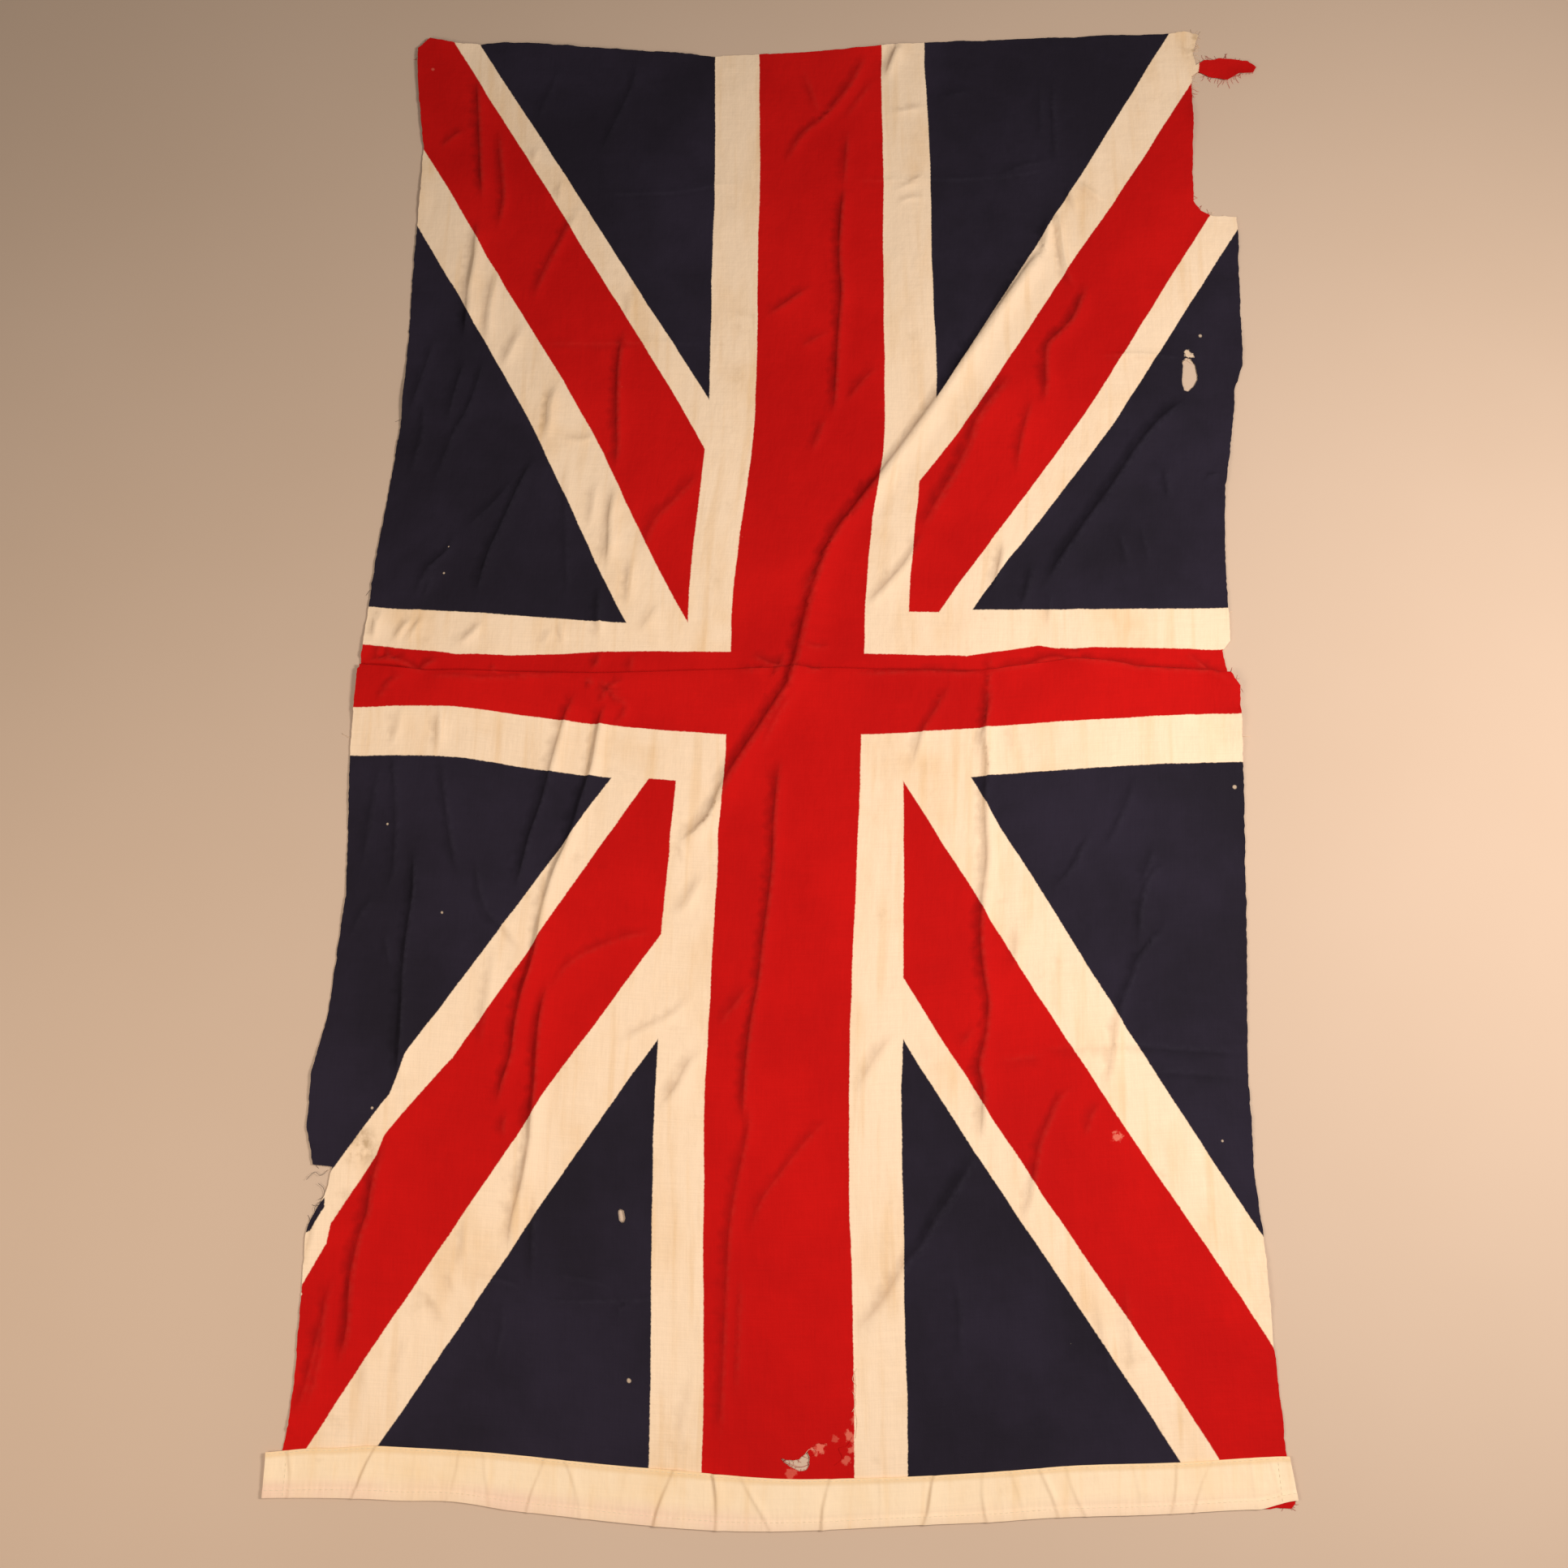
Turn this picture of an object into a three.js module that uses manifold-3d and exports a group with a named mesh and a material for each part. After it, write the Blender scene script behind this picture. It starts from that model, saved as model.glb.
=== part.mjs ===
import * as THREE from 'three';
import { mergeVertices } from 'three/addons/utils/BufferGeometryUtils.js';
import Module from 'manifold-3d';

const wasm = await Module();
wasm.setup();

// An old printed cotton flag, lying face up with a sewn tape heading. Millimetres, +Z up.
// The hoist end is at -Y, the fly end at +Y. A place on the flat cloth, as it was cut, is
// (across, along): across from the middle of the long arm, along from the hoist edge.

// driving dimensions of the cloth
const clothThickness = 1;
const clothHalfWidth = 452;
const slabLeft = -458;
const slabRight = 492;
const slabHoist = -10;
const slabFly = 1612;

// how it lies: skewed, with the middle of its hoist half pulled towards the hoist
const skew = 0.025;
const hoistBow = 25;
const swayStations = [[-40, -3], [0, -3], [400, -15], [720, -10], [900, -8], [1140, 8], [1360, 4], [1640, -4]];

// how far the pleat's edge strays from a straight line, at places across
const strayStations = [[-480, 6], [-350, -6], [-200, -4], [0, 3], [180, 1], [286, 13], [370, 5], [500, -4]];

// the pleat across the middle: the hoist half laps over the fly half
const pleatLine = 795;
const pleatDepth = 21;
const layerPitch = 1.6;
const rampStart = 4;
const rampEnd = 34;
const frayStep = 0.4;

// the grid that the cloth bends on
const columns = 36;
const hoistRows = 22;
const flyRows = 23;
const bendSteps = 3;
const rowsToBend = 3;
const pleatRows = rowsToBend + 2 * bendSteps + 4;

// the tape heading, sewn on top of the hoist end
const headingThickness = 1.2;
const headingWidth = 42;
const headingLeft = -457;
const headingRight = 461;
const headingColumns = 60;
const gap = 0.3;

const undersideOfBox = 5;
const bendRadius = layerPitch / 2;
const bendLength = Math.PI * bendRadius;
const floorLayer = clothThickness / 2;

// The torn edge of the flat cloth, in the order that it runs round.
// hoist edge, which shows past the heading at its +X end only
const hoistEdge = [
  [-447, 5], [-360, 3], [-250, 6], [-140, 3], [-30, 5], [80, 2], [190, 5], [290, 3], [370, 4], [457, -5],
];
// +X side of the hoist half, up to the pleat
const hoistSide = [[456, 39], [450, 132], [449, 228], [446, 279], [446, 369], [449, 508], [449, 640]];
// +X side of the fly half, torn straight across near the corner
const flySide = [
  [431, 868], [439, 879], [438, 917], [429, 1049], [439, 1161], [449, 1190], [454, 1346],
  [453, 1367], [428, 1368], [415, 1375], [407, 1387], [409, 1436], [416, 1546],
];
// a shred that hangs on by a corner, the grubby white corner and the torn fly edge
const flyEdge = [
  [433, 1543], [455, 1540], [470, 1549], [485, 1550], [489, 1557], [480, 1565], [448, 1569],
  [430, 1570], [421, 1562], [419, 1574], [427, 1599], [411, 1603], [394, 1600], [117, 1586],
  [69, 1579], [-72, 1568], [-118, 1565], [-250, 1573], [-350, 1580], [-409, 1578],
  [-437, 1584], [-450, 1571],
];
// -X side down to the pleat
const farFlySide = [[-448, 1531], [-438, 1443], [-439, 1134], [-437, 911], [-439, 856]];
// -X side of the hoist half, where a corner of the field is torn off along a slant
const farHoistSide = [
  [-438, 679], [-426, 542], [-430, 425], [-440, 371],  [-439, 311],
  [-429, 287], [-415, 288], [-421, 250], [-434, 224], [-436, 174], [-437, 104],
];

// Holes worn right through: the middle, half sizes, and how many corners.
const holes = [
  { across: 17, along: 56, halfAcross: 14, halfAlong: 8 },
  { across: 392, along: 1177, halfAcross: 8, halfAlong: 18 },
];
const holeCorners = 8;

// Main folds, as crest lines over the floor in (x, y), from the fly end to the hoist end.
const folds = [
  { rise: 9, crest: [[250, 1289], [173, 1168], [124, 1088], [24, 937], [-5, 826], [-13, 785], [-72, 684], [-121, 611]] },
  { rise: 4, crest: [[29, 1404], [25, 1264], [24, 1080], [10, 937]] },
  { rise: 5, crest: [[14, 766], [-24, 715], [-35, 520], [-56, 225], [-56, 123]] },
  { rise: 6, crest: [[181, 783], [184, 579], [187, 476], [179, 336], [148, 290], [68, 152]] },
  { rise: 8, crest: [[-192, 756], [-206, 715], [-255, 513], [-285, 361]] },
  { rise: 5, crest: [[-227, 766], [-243, 728], [-275, 546]] },
  { rise: 5, crest: [[-245, 513], [-241, 359], [-252, 244]] },
  { rise: 6, crest: [[-204, 1164], [-204, 922], [-209, 813]] },
  { rise: 5, crest: [[-271, 1279], [-328, 1126], [-388, 987]] },
  { rise: 5, crest: [[-272, 1091], [-328, 925], [-356, 826]] },
  { rise: 6, crest: [[389, 1110], [336, 1055], [290, 986], [249, 895]] },
  { rise: 5, crest: [[294, 1244], [252, 1179], [222, 1039], [217, 967]] },
  { rise: 6, crest: [[-380, 352], [-389, 239], [-401, 135]] },
  { rise: 4, crest: [[-376, 595], [-375, 425], [-373, 387]] },
  { rise: 4, crest: [[357, 605], [336, 532], [302, 412]] },
];
const foldSpread = 30;
const foldEnd = 70;
const foldKeepAtPleat = 0.4;
const foldFadeFrom = 90;

// Puckers of the tape, as (x, rise).
const puckers = [
  [-438, 2], [-371, 3], [-291, 1.5], [-218, 2], [-184, 1.5], [-104, 3], [-58, 3.5], [-22, 2], [40, 3],
  [132, 3.5], [181, 2], [239, 2], [262, 1.5], [351, 2], [376, 2],
];
const puckerSpread = 17;

const smooth = THREE.MathUtils.smoothstep;

function valueAt(stations, place) {
  const next = Math.max(1, stations.findIndex(([station]) => station >= place));
  const [from, fromValue] = stations[next - 1];
  const [to, toValue] = stations[next];
  return THREE.MathUtils.lerp(fromValue, toValue, smooth(place, from, to));
}

function bow(across) {
  return hoistBow * Math.sin((Math.PI / 2) * (across / clothHalfWidth)) ** 2;
}

// The pleat is deeper towards the sides, where it takes up the bow of the hoist half.
function foldedBack(across) {
  return pleatDepth + bow(across) / 2;
}

function firstBend(across) {
  return pleatLine + valueAt(strayStations, across) - bow(across);
}

// The middle of the cloth's thickness beside the pleat, as the distance along the floor from
// the pleat's edge, the height, and the angle that the cloth has turned through.
function pleatSection(past, depth) {
  if (past < 0) {
    const ramp = 1 - smooth(-past, depth + rampStart, depth + rampEnd);
    return { run: past, height: floorLayer + 2 * layerPitch * ramp, turn: 0 };
  }
  if (past < bendLength) {
    const turn = past / bendRadius;
    const height = floorLayer + 1.5 * layerPitch + bendRadius * Math.cos(turn);
    return { run: bendRadius * Math.sin(turn), height, turn: -turn };
  }
  if (past < bendLength + depth) {
    return { run: bendLength - past, height: floorLayer + layerPitch, turn: -Math.PI };
  }
  if (past < 2 * bendLength + depth) {
    const turn = (past - bendLength - depth) / bendRadius;
    const height = floorLayer + 0.5 * layerPitch + bendRadius * Math.cos(turn);
    return { run: -depth - bendRadius * Math.sin(turn), height, turn: turn - Math.PI };
  }
  return { run: past - 2 * bendLength - 2 * depth, height: floorLayer, turn: 0 };
}

function crestAt(crest, y) {
  const next = crest.findIndex(([, crestY]) => crestY <= y);
  if (next < 1) return null;
  const [fromX, fromY] = crest[next - 1];
  const [toX, toY] = crest[next];
  const share = (fromY - y) / (fromY - toY);
  return { x: fromX + (toX - fromX) * share, lean: Math.atan2(Math.abs(toX - fromX), fromY - toY) };
}

function foldRise(x, y) {
  let squares = 0;
  for (const { rise, crest } of folds) {
    const place = crestAt(crest, y);
    if (!place) continue;
    const distance = Math.min(1, (Math.abs(x - place.x) * Math.cos(place.lean)) / foldSpread);
    const ends = smooth(crest[0][1] - y, 0, foldEnd) * smooth(y - crest.at(-1)[1], 0, foldEnd);
    squares += (rise * ends * Math.cos((Math.PI / 2) * distance) ** 2) ** 2;
  }
  const fromPleat = Math.abs(y - pleatLine - skew * x);
  const keep = THREE.MathUtils.lerp(foldKeepAtPleat, 1, smooth(fromPleat, 0, foldFadeFrom));
  return keep * Math.sqrt(squares);
}

// Where a point of the flat cloth lies on the floor, offset through the cloth's thickness.
function lay(across, along, offset) {
  const edge = firstBend(across);
  const { run, height, turn } = pleatSection(along - edge, foldedBack(across));
  const x = across + valueAt(swayStations, along);
  const y = edge + run + skew * across + bow(across) - offset * Math.sin(turn);
  return [x, y, height + offset * Math.cos(turn) + foldRise(x, y)];
}

// Rows of the grid at one place across, each as a distance along the flat cloth. The three
// layers of the pleat share their rows, so that they stay parallel.
function rowsAt(across) {
  const edge = firstBend(across);
  const depth = foldedBack(across);
  const rows = [];
  const rampFoot = edge - depth - rampEnd;
  for (let row = 0; row <= hoistRows; row++) rows.push(slabHoist + ((rampFoot - slabHoist) * row) / hoistRows);
  rows.push(edge - depth - rampStart, edge - depth / 2);
  for (let step = 0; step <= bendSteps; step++) rows.push(edge + (bendLength * step) / bendSteps);
  rows.push(edge + bendLength + depth / 2);
  const second = edge + bendLength + depth;
  for (let step = 0; step <= bendSteps; step++) rows.push(second + (bendLength * step) / bendSteps);
  const outAgain = second + bendLength;
  rows.push(outAgain + depth / 2, outAgain + depth);
  const flyStart = outAgain + depth;
  for (let row = 1; row <= flyRows; row++) rows.push(flyStart + ((slabFly - flyStart) * row) / flyRows);
  return rows;
}

// A grid point near a crest moves across onto it, so that each fold has a clean ridge.
function snapToCrest(across, along) {
  const reach = (slabRight - slabLeft) / columns / 2;
  const [x, y] = lay(across, along, 0);
  for (const { crest } of folds) {
    const place = crestAt(crest, y);
    if (place && Math.abs(place.x - x) < reach) return across + place.x - x;
  }
  return across;
}

// A box's underside has its cells split along the other diagonal from its top. Splitting them
// along the same one keeps a bent sheet equally thick all over.
function matchDiagonals(box) {
  const index = box.index.array;
  const { start, count } = box.groups.find(({ materialIndex }) => materialIndex === undersideOfBox);
  for (let i = start; i < start + count; i += 6) {
    const [a, b, d, , c] = index.subarray(i, i + 6);
    index.set([a, b, c, a, c, d], i);
  }
}

function gridSlab() {
  const rowCount = rowsAt(0).length - 1;
  const slab = new THREE.BoxGeometry(columns, rowCount, clothThickness, columns, rowCount, 1);
  matchDiagonals(slab);
  const spots = slab.attributes.position;
  const cell = (slabRight - slabLeft) / columns;
  for (let i = 0; i < spots.count; i++) {
    const column = Math.round(spots.getX(i) + columns / 2);
    const row = Math.round(spots.getY(i) + rowCount / 2);
    const across = slabLeft + cell * column;
    const along = rowsAt(across)[row];
    const inside = column > 0 && column < columns;
    const snapped = inside ? snapToCrest(across, along) : across;
    spots.setX(i, snapped);
    spots.setY(i, rowsAt(snapped)[row]);
  }
  return slab;
}

function toSolid(geometry) {
  const bare = geometry.clone();
  bare.deleteAttribute('normal');
  bare.deleteAttribute('uv');
  const merged = mergeVertices(bare, 1e-4);
  return new wasm.Manifold(
    new wasm.Mesh({
      numProp: 3,
      vertProperties: merged.attributes.position.array,
      triVerts: new Uint32Array(merged.index.array),
    }),
  );
}

function toGeometry(solid) {
  const mesh = solid.getMesh();
  const geometry = new THREE.BufferGeometry();
  geometry.setAttribute('position', new THREE.BufferAttribute(mesh.vertProperties, 3));
  geometry.setIndex(new THREE.BufferAttribute(mesh.triVerts, 1));
  return geometry;
}

// The cut end of the pleat, with a slight corner at each row so that it bends with the layers.
// The layer on top ends at one place across, and those under it at another.
function pleatEnd(topEnd, underEnd) {
  const corners = [];
  for (let row = hoistRows; row <= hoistRows + pleatRows; row++) {
    const across = row < hoistRows + rowsToBend ? topEnd : underEnd;
    const fray = row % 2 ? frayStep : -frayStep;
    corners.push([across + fray, rowsAt(across + fray)[row]]);
  }
  return corners;
}

function tornOutline() {
  const edge = [
    ...hoistEdge,
    ...hoistSide,
    ...pleatEnd(448, 438),
    ...flySide,
    ...flyEdge,
    ...farFlySide,
    ...pleatEnd(-437, -440).reverse(),
    ...farHoistSide,
  ];
  const outline = new THREE.Shape(edge.map(([across, along]) => new THREE.Vector2(across, along)));
  for (const { across, along, halfAcross, halfAlong } of holes) {
    const corners = [];
    for (let corner = 0; corner < holeCorners; corner++) {
      const angle = (2 * Math.PI * corner) / holeCorners;
      corners.push(new THREE.Vector2(across + halfAcross * Math.cos(angle), along + halfAlong * Math.sin(angle)));
    }
    outline.holes.push(new THREE.Path(corners));
  }
  const depth = 4 * clothThickness;
  return new THREE.ExtrudeGeometry(outline, { depth, bevelEnabled: false }).translate(0, 0, -depth / 2);
}

// The cloth is cut flat and then laid, so that its pleat and folds are one sheet.
function makeCloth() {
  const cut = toSolid(gridSlab()).intersect(toSolid(tornOutline()));
  const geometry = toGeometry(cut);
  const spots = geometry.attributes.position;
  for (let i = 0; i < spots.count; i++) {
    spots.setXYZ(i, ...lay(spots.getX(i), spots.getY(i), spots.getZ(i)));
  }
  const material = new THREE.MeshStandardMaterial({ color: 0xb01c18, roughness: 0.9, metalness: 0 });
  const mesh = new THREE.Mesh(geometry, material);
  mesh.name = 'cloth';
  return mesh;
}

function puckerRise(x) {
  let rise = 0;
  for (const [place, height] of puckers) {
    const distance = Math.min(1, Math.abs(x - place) / puckerSpread);
    rise = Math.max(rise, height * Math.cos((Math.PI / 2) * distance) ** 2);
  }
  return rise;
}

// The tape follows the cloth's bowed hoist edge and puckers between its stitches.
function makeHeading() {
  const length = headingRight - headingLeft;
  const tape = new THREE.BoxGeometry(length, headingWidth, headingThickness, headingColumns, 2, 1);
  matchDiagonals(tape);
  const middle = (headingLeft + headingRight) / 2;
  const spots = tape.attributes.position;
  const rest = gap + (clothThickness + headingThickness) / 2;
  for (let i = 0; i < spots.count; i++) {
    const across = spots.getX(i) + middle;
    const along = spots.getY(i) + headingWidth / 2;
    const [x, y, z] = lay(across, along, spots.getZ(i));
    spots.setXYZ(i, x, y, z + rest + puckerRise(x));
  }
  const material = new THREE.MeshStandardMaterial({ color: 0xe8d5b4, roughness: 0.9, metalness: 0 });
  const mesh = new THREE.Mesh(tape, material);
  mesh.name = 'heading';
  return mesh;
}

const group = new THREE.Group();
group.add(makeCloth(), makeHeading());

// The origin is under the middle of the whole flag, at the floor.
const box = new THREE.Box3().setFromObject(group, true);
const centre = box.getCenter(new THREE.Vector3());
group.position.set(-centre.x, -centre.y, -box.min.z);

export default group;
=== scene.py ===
import math
import random

import bpy
import numpy as np
from mathutils import Matrix, Vector, geometry, kdtree, noise


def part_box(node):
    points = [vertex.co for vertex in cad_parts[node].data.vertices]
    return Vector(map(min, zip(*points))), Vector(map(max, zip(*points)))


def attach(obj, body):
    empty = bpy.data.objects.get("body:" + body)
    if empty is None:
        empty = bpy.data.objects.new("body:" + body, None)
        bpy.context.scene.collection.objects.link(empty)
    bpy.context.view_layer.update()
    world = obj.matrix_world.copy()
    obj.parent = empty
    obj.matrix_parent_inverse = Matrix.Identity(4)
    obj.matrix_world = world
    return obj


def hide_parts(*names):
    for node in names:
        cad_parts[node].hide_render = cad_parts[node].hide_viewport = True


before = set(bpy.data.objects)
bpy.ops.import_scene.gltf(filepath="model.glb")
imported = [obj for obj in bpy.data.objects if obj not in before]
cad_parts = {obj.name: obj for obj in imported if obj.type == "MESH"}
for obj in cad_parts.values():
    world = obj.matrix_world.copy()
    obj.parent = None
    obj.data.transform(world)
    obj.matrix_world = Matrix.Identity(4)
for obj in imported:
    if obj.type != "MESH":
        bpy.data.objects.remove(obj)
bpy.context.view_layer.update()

# An old printed cotton flag, lying face up with a tape heading sewn to its hoist end (-Y).
# Places and sizes are in millimetres, and each mesh is made from them in metres.
# (across, along) is a place on the flat cloth as it was cut, across from the middle of the
# long arm and along from the hoist edge. (x, y) is a place on the floor as the flag lies.
mm = 0.001

clothLie = {
    "thickness": 0.6,
    "skew": 0.025,  # how far it slopes towards the fly, for each step across
    "bow": 25,  # how far the middle of the hoist half is pulled towards the hoist
    "halfWidth": 452,
    "sway": [(-40, -3), (0, -3), (400, -15), (720, -10), (900, -8), (1140, 8), (1360, 4), (1640, -4)],
    "floorLayer": 0.5,
    "shoves": [(-350, 712, 66, 92, 0, 6)],  # x, y, reach across and along, move across and along
}

# the pleat across the middle, where the hoist half laps over the fly half
pleat = {
    "line": 795,
    "stray": [(-480, 6), (-350, -6), (-200, -4), (0, 3), (180, 1), (286, 13), (370, 5), (500, -4)],
    "depth": 21,
    "pitch": 1.6,  # from layer to layer
    "rampStart": 4,
    "rampEnd": 34,
    "bendSteps": 5,
    "mouths": [  # x, reach, lift
        (292, 74, 6.5), (352, 60, 4), (428, 42, 5.5), (205, 60, 3), (120, 60, 2.2), (40, 46, 1.6),
        (-14, 26, 4.5), (-150, 80, 1.8), (-262, 60, 1.2), (-352, 40, 1.6), (-418, 38, 4.5),
    ],
}
bendRadius = pleat["pitch"] / 2
bendLength = math.pi * bendRadius
takenUp = 2 * bendLength + 2 * pleat["depth"]  # how much cloth the pleat hides, at its middle

# the torn edge of the flat cloth, in the order that it runs round
tornEdge = [
    (-447, 5), (-360, 3), (-250, 6), (-140, 3), (-30, 5), (80, 2), (190, 5), (290, 3), (370, 4),
    (412, -2), (432, -6.5), (457, -6.5), (461, -2), (458, 12), (455, 39), (450, 132),
    (449, 228), (446, 279), (446, 369),
    (449, 508), (449, 640), (448, 725), (447, 757), (438, 771), (436, 774), (436, 842), (431, 868),
    (439, 879), (438, 917), (429, 1049), (439, 1161), (449, 1190), (454, 1346), (453, 1367),
    (428, 1368), (415, 1375), (407, 1387), (409, 1436), (416, 1546), (424, 1552), (434, 1545), (455, 1540),
    (470, 1549), (485, 1550), (489, 1557), (480, 1565), (448, 1569), (432, 1566), (422, 1560),
    (419, 1574), (427, 1599), (411, 1603), (394, 1600), (117, 1586), (69, 1579), (-72, 1568),
    (-118, 1565), (-180, 1570), (-250, 1573), (-350, 1580), (-380, 1576), (-409, 1578),
    (-437, 1584), (-450, 1571), (-448, 1531), (-438, 1443), (-439, 1134), (-437, 911),
    (-439, 856), (-438, 771), (-440, 769), (-439, 679), (-426, 542), (-430, 425), (-440, 371),
    (-440, 320), (-432, 286), (-414, 284), (-417.5, 265), (-422, 254), (-433.5, 232), (-435, 224),
    (-436, 174), (-437, 104), (-440, 60),
]
holes = [  # corners of each place worn right through
    [
        (2, 58.6), (10, 56.6), (19, 57.3), (23, 61.4), (26.6, 64), (28, 59.3), (28, 53.2), (25, 48.4),
        (19, 47), (11.5, 50.5), (4.3, 55.2),
    ],
    [
        (385.4, 1193.5), (389.6, 1197), (394.2, 1195.7), (398.6, 1188.4), (400.5, 1177.8), (400.5, 1171.4),
        (395.1, 1162.9), (389.8, 1157.1), (385.4, 1158.8), (383.5, 1164), (384.5, 1179.9),
    ],
    [(-146, 266), (-141.5, 265), (-140, 258), (-142, 253.5), (-146, 256)],
]

clothMesh = {
    "edgeStep": 3.2,
    "ragged": 0.55,
    "grid": 7.2,
    "columnStep": 6,
    "alongCrease": 6,
    "clear": 2.1,  # least distance between mesh points
    "gridClear": 4.4,
    "gridStart": (-475, -12),
    "gridSpan": (980, 1640),
    "gridDrift": 0.8,
    "pleatSpan": (-470, 476),
    "sides": (-1, -0.5, 0.3, 0.62, 1),  # strips beside a crest, from the steep side to the gentle one
    "holeStep": 2,
    "holeRagged": 0.5,
}

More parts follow.
